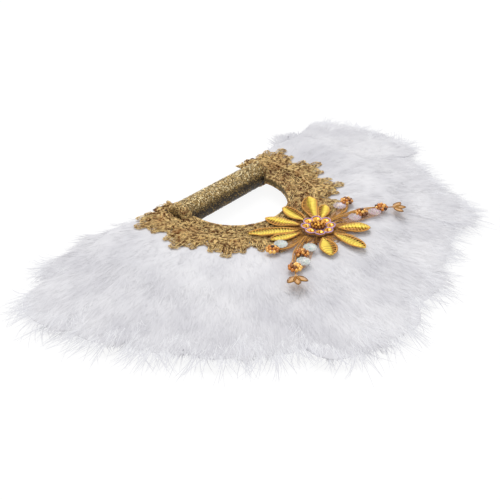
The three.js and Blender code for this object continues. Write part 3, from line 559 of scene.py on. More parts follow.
def plume_side(radii, degrees, side):
    """Height of the highest plume at the place, or for side -1 the depth of the lowest."""
    radii, degrees = np.broadcast_arrays(radii, degrees)
    top = side * plume_middle(radii) + 0.5 * plume_half_high(radii, 240)
    for number, bearing in enumerate(PLUME_DEGREES, 1):
        forward, across = spun(radii, 0.0, np.radians(degrees - bearing))
        skin, on_plume = plume_skin(number, forward, across, 0.02)
        skin = np.maximum(top, side * plume_middle(forward) + skin)
        top = np.where(on_plume & (forward > PLUME_ROOT), skin, top)
    return top


def fringe_skin(radii, degrees, side):
    """Under and upper side of the packed down: between the plumes' tops and the heights given, with tufts.
    Both come down to the plumes over the last 34 mm, so that no edge shows."""
    reach = fringe_reach(degrees) + 2
    sunk = ease(radii, reach - 34, reach)
    plumes = plume_side(radii, degrees, side)
    low = np.maximum(np.where(radii < 120, FRINGE_ROOT_HEIGHT, -9), plumes + 0.2) - 3 * sunk
    top = np.interp(radii, TOP_RADII, FRONT_HEIGHTS if side > 0 else BACK_HEIGHTS)
    top = top + tufts(radii, np.radians(degrees) * 150, 3) * ease(radii, 84, 110)
    high = plumes - 0.15 + np.maximum(top - plumes, 0.3) * (1 - sunk)
    from_end = np.minimum(degrees - FRINGE_DEGREES[0], FRINGE_DEGREES[1] - degrees)
    return low, low + 0.3 + np.maximum(high - low - 0.3, 0) * ease(from_end, -4, 9)


def fringe_body(side):
    """The packed down, carried round the ring."""
    degrees = np.linspace(*FRINGE_DEGREES, 420)
    radii = FRINGE_ROOT + (fringe_reach(degrees)[:, None] + 2 - FRINGE_ROOT) * np.linspace(0, 1, 40)
    low, high = fringe_skin(radii, degrees[:, None], side)
    return turned(np.hstack([radii, radii[:, ::-1]]), np.hstack([low, high[:, ::-1]]), degrees)


def from_ring_centre(degrees, forward, aside):
    """Distance and bearing of paths laid out from the ring's centre in the direction degrees."""
    return np.hypot(forward, aside), degrees[:, None] + np.degrees(np.arctan2(aside, forward))


def fringe_barbs(count, side, roots, length_low, length_more):
    """Hairs that set off from roots all over the fringe, lean by clumps and lie on its upper side."""
    degrees = FRINGE_DEGREES[0] + 1 + (FRINGE_DEGREES[1] - FRINGE_DEGREES[0] - 2) * draw(count)
    radius = np.sqrt(roots[0] ** 2 + (roots[1] ** 2 - roots[0] ** 2) * draw(count))
    radius = np.minimum(radius, fringe_reach(degrees) - 2 - 14 * draw(count))
    clump = np.sin(np.radians(degrees) * 23 + radius / 15) + np.sin(np.radians(degrees) * 41 - radius / 9)
    outward = ease(degrees, 180, 202) - ease(-degrees, 0, 22)
    heading = np.radians(9 * clump + 24 * outward + chance.normal(0, 10, count))
    curl = np.radians(chance.normal(0, 15, count))
    length = length_low + length_more * draw(count)
    paths = combed(radius, 0 * radius, heading, curl, length)
    far, bearing = from_ring_centre(degrees, *paths)
    skin = np.maximum(fringe_skin(far, bearing, side)[1], plume_side(far, bearing, side))
    return coat_over(np.radians(degrees), *paths, 0.0, skin)


def side_barbs(count, end, inward):
    """Hairs that close a wing's straight side: rooted all over the cut between the back's down and the
    front's, they run outwards, keep their share of that height and stop with the loose ends."""
    degrees = end + inward * (0.5 + 4.5 * draw(count))
    radius = 83 + 62 * draw(count)
    length = 18 + 18 * draw(count)
    length = np.minimum(length, 0.94 * loose_end(np.radians(degrees), 1.0, 0.0) - radius)
    heading, curl = np.radians(chance.normal(0, 7, count)), np.radians(chance.normal(0, 14, count))
    far, bearing = from_ring_centre(degrees, *combed(radius, 0 * radius, heading, curl, length))
    over, under = [side * fringe_skin(far, bearing, side)[1] for side in (1, -1)]
    share = draw(count)[:, None]
    heights = under + (over - under) * (share + 0.3 * (0.5 - share) * np.linspace(0, 1, 4))
    wide = (0.25 + 0.4 * draw(count))[:, None] * np.array([0.8, 1.0, 0.7, 0.06])
    path = ring_point(far, bearing, np.maximum(heights, FLOOR_CLEAR))
    return carried(BARB_SECTION, path, wide, 0.5 * wide, tone=draw(count))


def laid_under(shape, lowest):
    """The shape turned over for the back, and pressed flat by the table at lowest."""
    shape = flipped(shape)
    shape["points"][:, 2] = np.maximum(shape["points"][:, 2], lowest)
    return shape


piece("front_fringe_body", "front_fringe", under_down, "down", fringe_body(1))
piece("back_fringe_body", "back_fringe", under_down, "down", laid_under(fringe_body(-1), FLOOR_CLEAR - 0.3))
for part, roots in (("roots", (94, 156)), ("ends", (146, 180))):
    coat = fringe_barbs(FRONT_BARBS // 2, 1, roots, 13, 14)
    piece(f"front_fringe_{part}", "front_fringe", down, "down", coat, lift=4.0)
coat = laid_under(fringe_barbs(BACK_BARBS, -1, (94, 174), 20, 16), FLOOR_CLEAR - 0.2)
piece("back_fringe_barbs", "back_fringe", down, "down", coat, smooth=False, lift=0.0)
for wing, end, inward in (("left", FRINGE_DEGREES[0], 1), ("right", FRINGE_DEGREES[1], -1)):
    coat = side_barbs(SIDE_BARBS, end, inward)
    piece(f"{wing}_side_barbs", "front_fringe", down, "down", coat, smooth=False, lift=0.0)

# ------------------------------------------------------------
# Hole ribbon: taupe ribbon folded over the boards' cut edge inside the hand hole and glued, so that it
# shows as a thin lip along the arc. It puckers a little where it follows the curve.

HOLE_RADIUS, RIBBON_FLANGE, RIBBON_TOP, RIBBON_THICK = 54.0, 3.0, 3.8, 0.6


def ribs_along(tree, per_mm):
    """Waves along a path: the sine of its millimetres times per_mm."""
    return maths(tree, "SINE", maths(tree, "MULTIPLY", own(tree, "along"), per_mm))


# Polyester grosgrain: cross ribs 1.2 mm apart, a dull silk sheen, and grime where the fingers rub
grosgrain, tree = start_material("taupe_grosgrain", {"Roughness": 0.55, "Sheen Weight": 0.1})
rubbed = texture(tree, "Noise", 120.0, {"Detail": 3.0})[0]
finish(tree, rubbed, "463818", "8A723C", ribs_along(tree, 5.2), 0.5, 0.0002)

degrees = np.linspace(-7.6, 187.6, 220)
pucker = (0.12 * np.sin(np.radians(degrees) * 61) + 0.08 * np.sin(np.radians(degrees) * 97 + 1))[:, None]
inner, outer, wall = HOLE_RADIUS, HOLE_RADIUS + RIBBON_FLANGE, HOLE_RADIUS + RIBBON_THICK
radii = np.array([wall, outer, outer, outer - 0.2, inner + 0.3, inner])
heights = RIBBON_TOP - np.array([RIBBON_THICK, RIBBON_THICK, 0.2, 0.0, 0.0, 0.3])
order = [4, 3, 2, 1, 0]  # the lower half is the upper one's mirror image
radii = np.concatenate([radii[order], radii, radii[5:]])
heights = np.concatenate([-heights[order], heights, -heights[5:]])
ribbon = turned(radii + pucker * (radii < inner + 0.5), heights, degrees)
made = piece("hole_ribbon", "hole_binding", grosgrain, "ribbon", ribbon)

# ------------------------------------------------------------
# Handle: a stiff plastic pipe slotted over the boards' ends, a foam sleeve round it, and glitter cloth
# drawn tight over both and over the ends. The cloth is a dark knit with loose gold flakes bonded to it.

GRIP_RADIUS, GRIP_HALF_LENGTH, GRIP_END, FLAKES = 13.3, 65.1, 3.2, 10500

# Extruded white PVC: smooth, with faint draw lines along the pipe
pvc, tree = start_material("white_pvc", {"Roughness": 0.45})
spot = add_node(tree, "TexCoord").outputs["Object"]
drawn = add_node(tree, "Mapping", {"Vector": spot, "Scale": (20.0, 900.0, 900.0)}).outputs[0]
lines = add_node(tree, "TexNoise", {"Vector": drawn, "Scale": 1.0}).outputs[0]
finish(tree, lines, "DCDAD3", "EEECE6")
dress("handle_core", pvc)
# Closed-cell EVA foam: matt off-white with pores 0.8 mm wide
foam, tree = start_material("eva_foam", {"Roughness": 0.95})
pores = texture(tree, "Voronoi", 1250.0)[0]
finish(tree, pores, "BDB8AE", "DDD9D1", pores)
dress("grip_foam", foam)
# Dark brown lurex knit: stitches 1.1 mm wide, half of them gold thread. Its gold fades to the dark ground as
# painted shade low on the side that faces the hand hole and the table
lurex, tree = start_material("lurex_knit", {"Roughness": 0.5, "Metallic": 0.35})
stitches = texture(tree, "Voronoi", 950.0)
thread = add_node(tree, "SeparateColor", {"Color": stitches["Color"]}).outputs[0]
shown_in_painted_light = maths(tree, "MULTIPLY", thread, own(tree, "tone"))
finish(tree, shown_in_painted_light, "1E160C", "C4A468", stitches[0], 0.8, 0.0005, invert=True)
# Gold-coated polyester flakes, 1 to 1.5 mm: metal from dark bronze to pale gold, each flake its own, and
# darker in the painted shade low on the hand hole's side
flake_gold, tree = start_material("gold_glitter_flake", {"Metallic": 1.0, "Roughness": 0.28})
dark, pale = ranged(tree, own(tree, "tone"), 0.05, 0.4), ranged(tree, own(tree, "tone"), 0.5, 0.9)
finish(tree, pale, mixed(tree, dark, "3A2A14", "BFA065"), "FFF0C4")


def grip_radius(x):
    """The covered handle's radius. Over the last GRIP_END millimetres, past from 0 to 1, it loses GRIP_END
    times (0.75 (1 - square root of (1 - past squared)) + past to the power 6)."""
    past = np.clip((np.abs(x) - (GRIP_HALF_LENGTH - GRIP_END)) / GRIP_END, 0, 1)
    return GRIP_RADIUS - GRIP_END * (0.75 * (1 - np.sqrt(1 - past**2)) + past**6)


def grip_point(x, out, turn):
    """A point round the handle's axis: (x, out cos a, out sin a)."""
    return np.stack([x + 0 * turn, out * np.cos(turn), out * np.sin(turn)], -1)


def painted_light_share(turn):
    """Painted light on the cover at an angle round it: 1 on top, near 0 low on the hand hole's side, in
    painted shade.
    """
    return np.clip(0.06 + 0.94 * ease(np.cos(turn - np.radians(128)), -0.55, 0.25), 0, 1)


rings = (GRIP_HALF_LENGTH * np.sin(np.linspace(-np.pi / 2, np.pi / 2, 90)) * 0.999)[:, None]
turn = angles(96)
ripple = 0.22 * np.sin(rings / 4.3) * np.sin(turn * 3 + rings / 17)
cover = skinned(grip_point(rings, grip_radius(rings) - 0.35 + ripple, turn)[None, :, ::-1])
# The knit's tone is the painted light round the cover: gold on top, painted shade low on the hand hole's side
cover["tone"] = np.tile(painted_light_share(turn[::-1]), len(rings))
made = piece("grip_knit", "grip_cover", lurex, "glitter_cloth", cover)

x = (GRIP_HALF_LENGTH - 1.2) * (draw(FLAKES) * 2 - 1)
turn = draw(FLAKES) * 2 * np.pi
# Fewer flakes are kept low on the hand hole's side, as painted shade
shown_in_painted_light = draw(FLAKES) < painted_light_share(turn) * 0.75 + 0.25
x, turn = x[shown_in_painted_light], turn[shown_in_painted_light]
count = len(x)
spin, tilt, toward = draw(count) * 2 * np.pi, *chance.normal(0, 0.42, (2, count, 1))
out, sideways = grip_point(0 * x, 1.0, turn), grip_point(0 * x, 1.0, turn + np.pi / 2)
aim = unit(out + tilt * np.array([1.0, 0, 0]) + toward * sideways)
first = np.stack([np.cos(spin), np.sin(spin) * np.sin(turn), np.sin(spin) * np.cos(turn)], -1)
first = unit(np.cross(aim, first))
size = (0.42 + 0.3 * draw(count))[:, None, None]
middle = grip_point(x, grip_radius(x) - 0.25 + 0.2 * draw(count), turn)
# Each flake is a flat eight-faced chip: four corners round it and a low point on either side
chip = np.array([[1, 0, 0], [0, 1, 0], [-1, 0, 0], [0, -1, 0], [0, 0, 0.22], [0, 0, -0.22]])
sides = np.array([[0, 1, 4], [1, 2, 4], [2, 3, 4], [3, 0, 4], [1, 0, 5], [2, 1, 5], [3, 2, 5], [0, 3, 5]])
points = middle[:, None] + size * (chip @ np.stack([first, np.cross(aim, first), aim], 1))
faces = (sides + 6 * np.arange(count)[:, None, None]).reshape(-1, 3)
# Each flake's tone is darker low on the hand hole's side, as painted shade
tone = np.repeat(draw(count) * (0.35 + 0.65 * painted_light_share(turn)), 6)
flakes = {"points": points.reshape(-1, 3), "faces": [faces], "tone": tone, "along": 0 * tone}
piece("grip_flakes", "grip_cover", flake_gold, "glitter_cloth", flakes, smooth=False)

# ------------------------------------------------------------
# Lace: gold guipure, machine embroidered in metallic thread on a bronze net and glued over the boards on
# both sides. It has a band of curled gimp and cords, and nine points of spread thread edged with picots.

LACE_POINTS_AT = np.linspace(-14.0, 194.0, 9)
LACE_PITCH, LACE_REACH, THREADS_PER_POINT, PICOTS = 26.0, 115.0, 84, 520
POINT_SHARES = (-0.5, -0.34, -0.2, 0.0, 0.2, 0.34, 0.5)
POINT_REACHES = (0.78, 0.93, 0.87, 1.0, 0.87, 0.93, 0.78)
DECK_RADII, DECK_HEIGHTS = (71.0, 81.0, 89.0, 102.0, 115.0, 134.0), (3.2, 5.3, 5.3, 6.23, 8.13, 9.9)
BOUNDARY_RADIUS = 81.0
GIMP_CURLS, POINT_CURLS, END_CURLS, RIBBON_CURLS = 1500, 900, 110, 560
LOBE_SHARES = np.array([-0.5, -0.385, -0.265, -0.1, 0.1, 0.265, 0.385, 0.5])
LACE_INNER = 57.3  # the lace's inner radius, along the hole
# Its two wings go round the covered handle's ends. From the ring's centre, sideways and towards the grip:
WING_OUTSIDE, WING_END, WING_INSIDE = 79.9, 46.0, 50.7  # their sides
PAST_GRIP, BELOW_GRIP = 65.7, 34.7  # the edge that follows the handle, past its end and below it
PAST_FROM, BELOW_FROM = 0.127, 0.2  # the share of a step towards the grip from which it does so
OPEN_SWEEP = 4.9  # radians: curled cord goes three quarters of the way round


def deck(radius):
    """Height of what the lace lies on: the board, then the tape, then the fringe's swelling roots."""
    return np.interp(radius, DECK_RADII, DECK_HEIGHTS)


def on_deck(x, y, above):
    """A point so far above the deck."""
    return np.stack([x, y, deck(from_ring(x, y)) + above], -1)


def point_share(degrees):
    """How far across its lace point a bearing lies, from -0.5 to 0.5."""
    return (degrees - LACE_POINTS_AT[0] + LACE_PITCH / 2) % LACE_PITCH / LACE_PITCH - 0.5


def towards_grip(degrees):
    """How much of a step in that direction goes towards the grip, and how much to the side."""
    return np.maximum(1e-3, -np.sin(np.radians(degrees))), np.abs(np.cos(np.radians(degrees)))


def lace_edge(degrees):
    """The lace's outer edge: its points' outline, cut off straight below the grip's ends."""
    down_by, aside = towards_grip(degrees)
    edge = LACE_REACH * np.interp(point_share(degrees), POINT_SHARES, POINT_REACHES)
    edge = np.where((degrees < -27) | (degrees > 207), WING_OUTSIDE / aside, edge)
    return np.minimum(edge, WING_END / down_by)


def lace_start(degrees):
    """The lace's inner edge: along the hole, then past the covered handle's end, below it, and up the wing's
    inner side."""
    down_by, aside = towards_grip(degrees)
    past, below, inside = PAST_GRIP / aside, BELOW_GRIP / down_by, WING_INSIDE / aside
    start = np.where(down_by > PAST_FROM, past, LACE_INNER)
    start = np.where((down_by > BELOW_FROM) & (below < past), below, start)
    return np.where((down_by > BELOW_FROM) & (start < inside), inside, start)


def scalloped(degrees, inset):
    """The finished edge and the place across a lobe, u from -1 to 1: 0.4 of the lace's outline and 0.6 of its
    reach at the lobe's middle, less inset and 2.2 (1 - square root of (1 - u squared)), with the notches
    beside the tip filled by up to 4 mm."""
    share = point_share(degrees)
    lobe = np.clip(np.searchsorted(LOBE_SHARES, share) - 1, 0, 6)
    middle = (LOBE_SHARES[lobe] + LOBE_SHARES[lobe + 1]) / 2
    u = np.clip((share - middle) / (np.diff(LOBE_SHARES)[lobe] / 2), -1, 1)
    reach = 0.4 * lace_edge(degrees) + 0.6 * lace_edge(degrees + (middle - share) * LACE_PITCH)
    reach = reach + np.interp(share, POINT_SHARES, (1, 0, 4, 0, 4, 0, 1))
    return reach - inset - 2.2 * (1 - np.sqrt(1 - u**2)), u


# Bronze polyester net, packed with thread: coloured near-black brown between the raised gimp as painted
# shade, gold where the stitching under it shows
bronze_net, tree = start_material("bronze_net", {"Roughness": 0.6, "Metallic": 0.6})
holes = texture(tree, "Voronoi", 620.0)[0]
finish(tree, holes, "6E4008", "241002", holes, 0.7, 0.0004, invert=True)
# Metallic embroidery thread: gold foil wound on a core, with painted glints: lighter and darker in patches 2
# to 3 mm wide, worn coppery in places, with the winding's ribs 0.7 mm apart
gold_thread, tree = start_material("metallic_gold_thread", {"Metallic": 0.9, "Roughness": 0.36})
copper = ranged(tree, texture(tree, "Noise", 60.0)[0], 0.5, 0.7, 0.0, 0.4)
# Lighter and darker patches 2 to 3 mm wide: painted glints
patch = ranged(tree, texture(tree, "Noise", 380.0)[0], 0.4, 0.6, 0.0, 0.9)
gold = mixed(tree, maths(tree, "MULTIPLY_ADD", own(tree, "tone"), 0.4, patch), "6E3000", "FFE2A2")
finish(tree, copper, gold, "B2743E", ribs_along(tree, 9.0), 0.6, 0.0003)

# The net under the stitching, with its threads
degrees = np.linspace(-41.5, 221.5, 330)
start = lace_start(degrees)[:, None]
edge = np.maximum(lace_edge(degrees)[:, None] - 5.5, start + 0.3)
radii = start + (edge - start) * np.linspace(0, 1, 14)
low = deck(radii) + 0.02
net = turned(np.hstack([radii, radii[:, ::-1]]), np.hstack([low, low[:, ::-1] + 0.3]), degrees)


# Curled gimp: three quarters of a small oval each, thrown close together over the band and, smaller and
# thinner, over the points. Its colour is darkened in the groove before the points, as painted shade
def curled(degrees, radius, size, thick, lift):
    """Small open ovals of cord round points of the lace: (size cos a, 0.7 size sin a), turned any way."""
    count = len(degrees)
    middle = ring_point(radius, degrees, 0.0)
    sweep = draw(count)[:, None] * 2 * np.pi + np.linspace(0, 1, 8) * np.radians(285)
    slant = draw(count)[:, None] * np.pi
    x, y = spun(size[:, None] * np.cos(sweep), 0.7 * size[:, None] * np.sin(sweep), slant)
    above = lift * (0.4 + draw(count)[:, None]) + 0.15 * np.sin(sweep * 2)
    path = on_deck(middle[:, :1] + x, middle[:, 1:2] + y, above)
    return carried(circle(4), path, thick[:, None], 0.8 * thick[:, None], tone=draw(count))


def loops(count, least, more):
    """Open rounds of radius least to least + more, each begun anywhere: (size cos a, size sin a)."""
    sweep = draw(count)[:, None] * 6.28 + np.linspace(0, OPEN_SWEEP, 8)
    size = (least + more * draw(count))[:, None]
    return size * np.cos(sweep), size * np.sin(sweep)


def ring_cord(radius, degrees, above, wide, high=None, tone=1.0, sides=4):
    """A cord round the ring, so far above the deck."""
    return carried(circle(sides), ring_point(radius, degrees, deck(radius) + above), wide, high, tone=tone)


degrees = -41 + 262 * draw(GIMP_CURLS)
inner_edge, outer_edge = lace_start(degrees) + 2.0, np.minimum(BOUNDARY_RADIUS, lace_edge(degrees) - 3)
radius = inner_edge + (outer_edge - inner_edge) * draw(GIMP_CURLS)
size, thick = 1.0 + 1.1 * draw(GIMP_CURLS), 0.3 + 0.14 * draw(GIMP_CURLS)
curls = curled(degrees, radius, size, thick, 0.75)
# Tone darkened round radius 78, in the groove before the points: painted shade
far_out = from_ring(*curls["points"][:, :2].T)
curls["tone"] = curls["tone"] * (1.05 - 0.85 * np.exp(-(((far_out - 78) / 2.6) ** 2)))
# Some lies on the hole's ribbon and hangs down over half of its wall
degrees = -6 + 192 * draw(RIBBON_CURLS)[:, None]
x, y = loops(RIBBON_CURLS, 0.7, 0.6)
down_by = 4.6 * draw(RIBBON_CURLS)[:, None] - 2.8 - y
radius, height = HOLE_RADIUS - 0.15 + np.clip(-down_by, 0, 5), RIBBON_TOP + 0.25 - np.clip(down_by, 0, 4)
path = ring_point(radius, degrees + np.degrees(x / HOLE_RADIUS), height)
hung = carried(circle(4), path, 0.3, 0.26, tone=0.9 * draw(RIBBON_CURLS))
# More of it is turned up over the covered handle's two ends, which it hides: rounds laid on a cylinder
count = 2 * END_CURLS
x = np.where(np.arange(count) % 2, -1, 1) * (GRIP_HALF_LENGTH - 0.8 - 8.5 * draw(count) ** 1.6)
turn = np.radians(-25 + 205 * draw(count))
along, round_by = loops(count, 0.9, 0.9)
x = np.clip(x[:, None] + along, 0.2 - GRIP_HALF_LENGTH, GRIP_HALF_LENGTH - 0.2)
out = grip_radius(x) + 0.2 + 0.5 * draw(count)[:, None]
path = grip_point(x, out, turn[:, None] + round_by / GRIP_RADIUS)
turned_up = carried(circle(4), path, 0.34, 0.3, tone=draw(count))

# Cords: fine ones along the hole's ribbon, a wavy pair with a chain of swags through the band, and a raised
# two-ply one where the points begin
cords = []
degrees = np.linspace(-6.5, 186.5, 420)
for offset, radius, thick in ((0, 58.1, 0.45), (0.4, 59.9, 0.4), (0.9, 65.6, 0.42)):
    wave = radius + 0.6 * np.sin(np.radians(degrees) * 45 + offset)
    cords.append(ring_cord(wave, degrees, 0.8, thick, tone=0.75, sides=5))
degrees = np.linspace(-29, 209, 760)
for offset, radius in ((0.0, 70.4), (np.pi / 2, 75.2)):
    wave = radius + 1.5 * np.abs(np.sin(np.radians(degrees) * 19 + offset))
    cords.append(ring_cord(wave, degrees, 1.1, 0.46, 0.42, tone=0.9))
swag = BOUNDARY_RADIUS + 1.4 * np.cos(np.radians((degrees - LACE_POINTS_AT[0]) / LACE_PITCH * 360))
for ply in (0, np.pi):
    twist = np.radians(degrees) * BOUNDARY_RADIUS / 1.15 + ply
    path = ring_point(swag + 0.7 * np.cos(twist), degrees, deck(swag) + 1.1 + 0.4 * np.sin(twist))
    cords.append(carried(circle(5), path, 0.66, 0.6, tone=1.0))

# Points: fans of metallic thread, drawn together at the boundary cord and spread into seven rounded lobes.
# Each thread is its own ridge
share = (np.arange(THREADS_PER_POINT) + 0.5) / THREADS_PER_POINT - 0.5
point, share = [grid.ravel() for grid in np.meshgrid(LACE_POINTS_AT, share, indexing="ij")]
count = len(share)
share = share + 0.004 * chance.normal(0, 1, count)
tip_radius, in_lobe = scalloped(point + share * LACE_PITCH, 1.0)
tip_radius = tip_radius + chance.normal(0, 0.5, count)
base_radius = 79.5 + 3.0 * draw(count)
way = np.linspace(0, 1, 6)
bend = 0.012 * np.sin(np.pi * way) * chance.normal(0, 1, count)[:, None]
degrees = point[:, None] + (share[:, None] * (0.8 + 0.2 * way**0.7) + bend) * LACE_PITCH
radius = base_radius[:, None] + (np.maximum(tip_radius, base_radius + 4) - base_radius)[:, None] * way
high = (0.35 + 0.75 * (1 - in_lobe**2) * draw(count))[:, None] * np.sin(np.pi * (0.12 + 0.8 * way)) ** 0.5
inside = (degrees > -28).all(1) & (degrees < 208).all(1)
width = (0.3 + 0.16 * draw(count))[:, None] * (1 - 0.65 * way**3)
path, tone = ring_point(radius, degrees, deck(radius) + 0.3 + high), draw(count)
leaves = carried(circle(4), path[inside], width[inside], 0.8 * width[inside], tone=tone[inside])
# The threads are darkened near the boundary cord as painted shade in the groove, and lighter further out
far_out = from_ring(*leaves["points"][:, :2].T)
leaves["tone"] = leaves["tone"] * np.interp(far_out, (81, 90, 110), (0.3, 0.95, 1.15))
# Whipped edge: irregular picots round the lobes, a bright cord just inside them, and a fine cord drawn
# through the threads half way out
degrees = np.linspace(-27.5, 207.5, PICOTS)
radius = scalloped(degrees, 1.1)[0] + chance.normal(0, 0.4, PICOTS)
loop, size = angles(7), (0.55 + 0.4 * draw(PICOTS))[:, None, None]
picots = np.stack([np.cos(loop), np.sin(loop), 0.3 * np.cos(loop)], -1)
picots = ring_point(radius, degrees, deck(radius) + 0.5)[:, None] + size * picots
cords.append(carried(circle(3), picots, 0.26, closed=True, tone=0.3 + 0.7 * draw(PICOTS)))
degrees = np.linspace(-27, 207, 900)
half_way = (BOUNDARY_RADIUS + lace_edge(degrees)) / 2 + 0.8 * np.sin(np.radians(degrees) * 130)
cords.append(ring_cord(half_way, degrees, 1.2, 0.34, 0.3, tone=0.85))
cords.append(ring_cord(scalloped(degrees, 2.8)[0], degrees, 1.2, 0.42, 0.36))
degrees = -27 + 234 * draw(POINT_CURLS)
radius = BOUNDARY_RADIUS + 1 + (lace_edge(degrees) - BOUNDARY_RADIUS - 8) * draw(POINT_CURLS) ** 1.3
size, thick = 0.7 + 0.9 * draw(POINT_CURLS), 0.24 + 0.1 * draw(POINT_CURLS)
gimp = [curls, curled(degrees, radius, size, thick, 1.2), turned_up, hung]

lace = (("net", bronze_net, [net]), ("gimp", gold_thread, gimp), ("cords", gold_thread, cords),
        ("leaves", gold_thread, [leaves]))
for side, turn_over in (("front", lambda shape: shape), ("back", flipped)):
    made, *stitching = [
        piece(f"{side}_lace_{part}", f"{side}_lace", material, "gold_lace", *map(turn_over, shapes))
        for part, material, shapes in lace
    ]

# ------------------------------------------------------------
# Flower net: a scrap of pink-brown organza that the beadwork is sewn on. It is cut close round the petals
# and sprigs, sinks into the down and shows only as a faint blush.

FLOWER_Y = 126.0
NET_ABOVE, BEADS_ABOVE = 1.55, 2.9  # over the deck: the net's underside, and the beadwork's
PETAL_DEGREES = (0, 38, 119, 136, 165, 195, 224, 241, 322)
PETAL_REACHES = 65.0 * np.array([0.82, 0.74, 0.72, 1.0, 0.84, 0.84, 1.0, 0.72, 0.74])
PETAL_WIDTHS = 8.0 * np.array([0.85, 1.0, 0.85, 1.1, 0.9, 0.9, 1.1, 0.85, 1.0])

# Silk organza: sheer, so that most of the down's white comes through; plain weave 0.6 mm, drawn coarser
# than real so that it shows
organza, tree = start_material("sheer_organza", {"Roughness": 0.6, "Sheen Weight": 0.4, "Alpha": 0.36})
finish(tree, texture(tree, "Checker", 1600.0)[1], "C68C54", "E4B27C")

turn = angles(240)
reach = np.full(240, 19.5)
arms = [(math.radians(90 - at), length - 4, 0.19, 2) for at, length in zip(PETAL_DEGREES, PETAL_REACHES)]
arms += [(math.atan2(y, x), math.hypot(x, y), 0.2, 4) for x, y in ((-66, 26), (66, 26), (-50, -4), (50, -4))]
for at, length, wide, power in arms:
    apart = np.abs((turn - at + np.pi) % (2 * np.pi) - np.pi)
    reach = np.maximum(reach, length * np.exp(-((apart / wide) ** power)))
shares = np.linspace(0.02, 1, 12)
spread = np.concatenate([shares, shares[::-1]]) * reach[:, None]
x, y = spun(spread, 0.0, turn[:, None])
path = on_deck(x, FLOWER_Y + y, NET_ABOVE + np.repeat([0.0, 0.25], 12))
sheer_net = piece("flower_net", "applique_net", organza, "organza", skinned(path[None], closed=True))

# ------------------------------------------------------------
# Petals: nine long leaves of embroidery sewn on the net round the rosette. Two thirds of each is padded
# yellow satin stitch, the rest is a ladder of copper thread, and a double copper cord runs round it.

PETAL_START, PETAL_THICK, STITCH_PITCH, LADDER_PITCH, GROUND_CURLS = 18.6, 2.4, 2.7, 2.8, 330
FILL_SIDES = (1, 1, -1, -1, 1, -1, 1, 1, -1)  # the side on which a petal is padded

# Yellow lurex floss in satin stitch: strong yellow with a metal glint, with painted shade in the gaps between
# stitches and painted highlight on their ridges
satin, tree = start_material("yellow_satin_stitch", {"Metallic": 0.75, "Roughness": 0.38, "Coat Weight": 0.1})
ribs = ribs_along(tree, 2 * math.pi / 0.8)
finish(tree, own(tree, "tone"), "8C4806", "FFE563", ribs)
# Copper cord: foil-wrapped, red-brown to orange gold, ribs 0.8 mm apart
copper_cord, tree = start_material("copper_cord", {"Metallic": 0.8, "Roughness": 0.38})
finish(tree, own(tree, "tone"), "62300C", "FFC46C", ribs_along(tree, 7.8), 0.6, 0.0003)


def petal_edges(index, way):
    """Half widths along a petal, kept clear of its neighbours, as (along, left, right). It is widest two
    thirds of the way out: sine(pi x way to the power 1.3) to the power 0.6."""
    after = (PETAL_DEGREES[(index + 1) % len(PETAL_DEGREES)] - PETAL_DEGREES[index]) % 360
    before = (PETAL_DEGREES[index] - PETAL_DEGREES[index - 1]) % 360
    along = PETAL_START + (PETAL_REACHES[index] - PETAL_START) * way
    leaf = np.maximum(PETAL_WIDTHS[index] * np.sin(np.pi * np.clip(way, 0.02, 0.99) ** 1.3) ** 0.6, 0.9)
    limits = [along * math.tan(math.radians(min(apart, 90) / 2)) - 0.2 for apart in (before, after)]
    return along, np.minimum(leaf, limits[0]), np.minimum(leaf, limits[1])


def petal_point(index, along, across, above):
    """A point on a petal: along it from the flower's middle, across it, and above the beads' deck."""
    x, y = spun(along, -across, math.radians(90 - PETAL_DEGREES[index]))
    return on_deck(x, FLOWER_Y + y, BEADS_ABOVE + above)


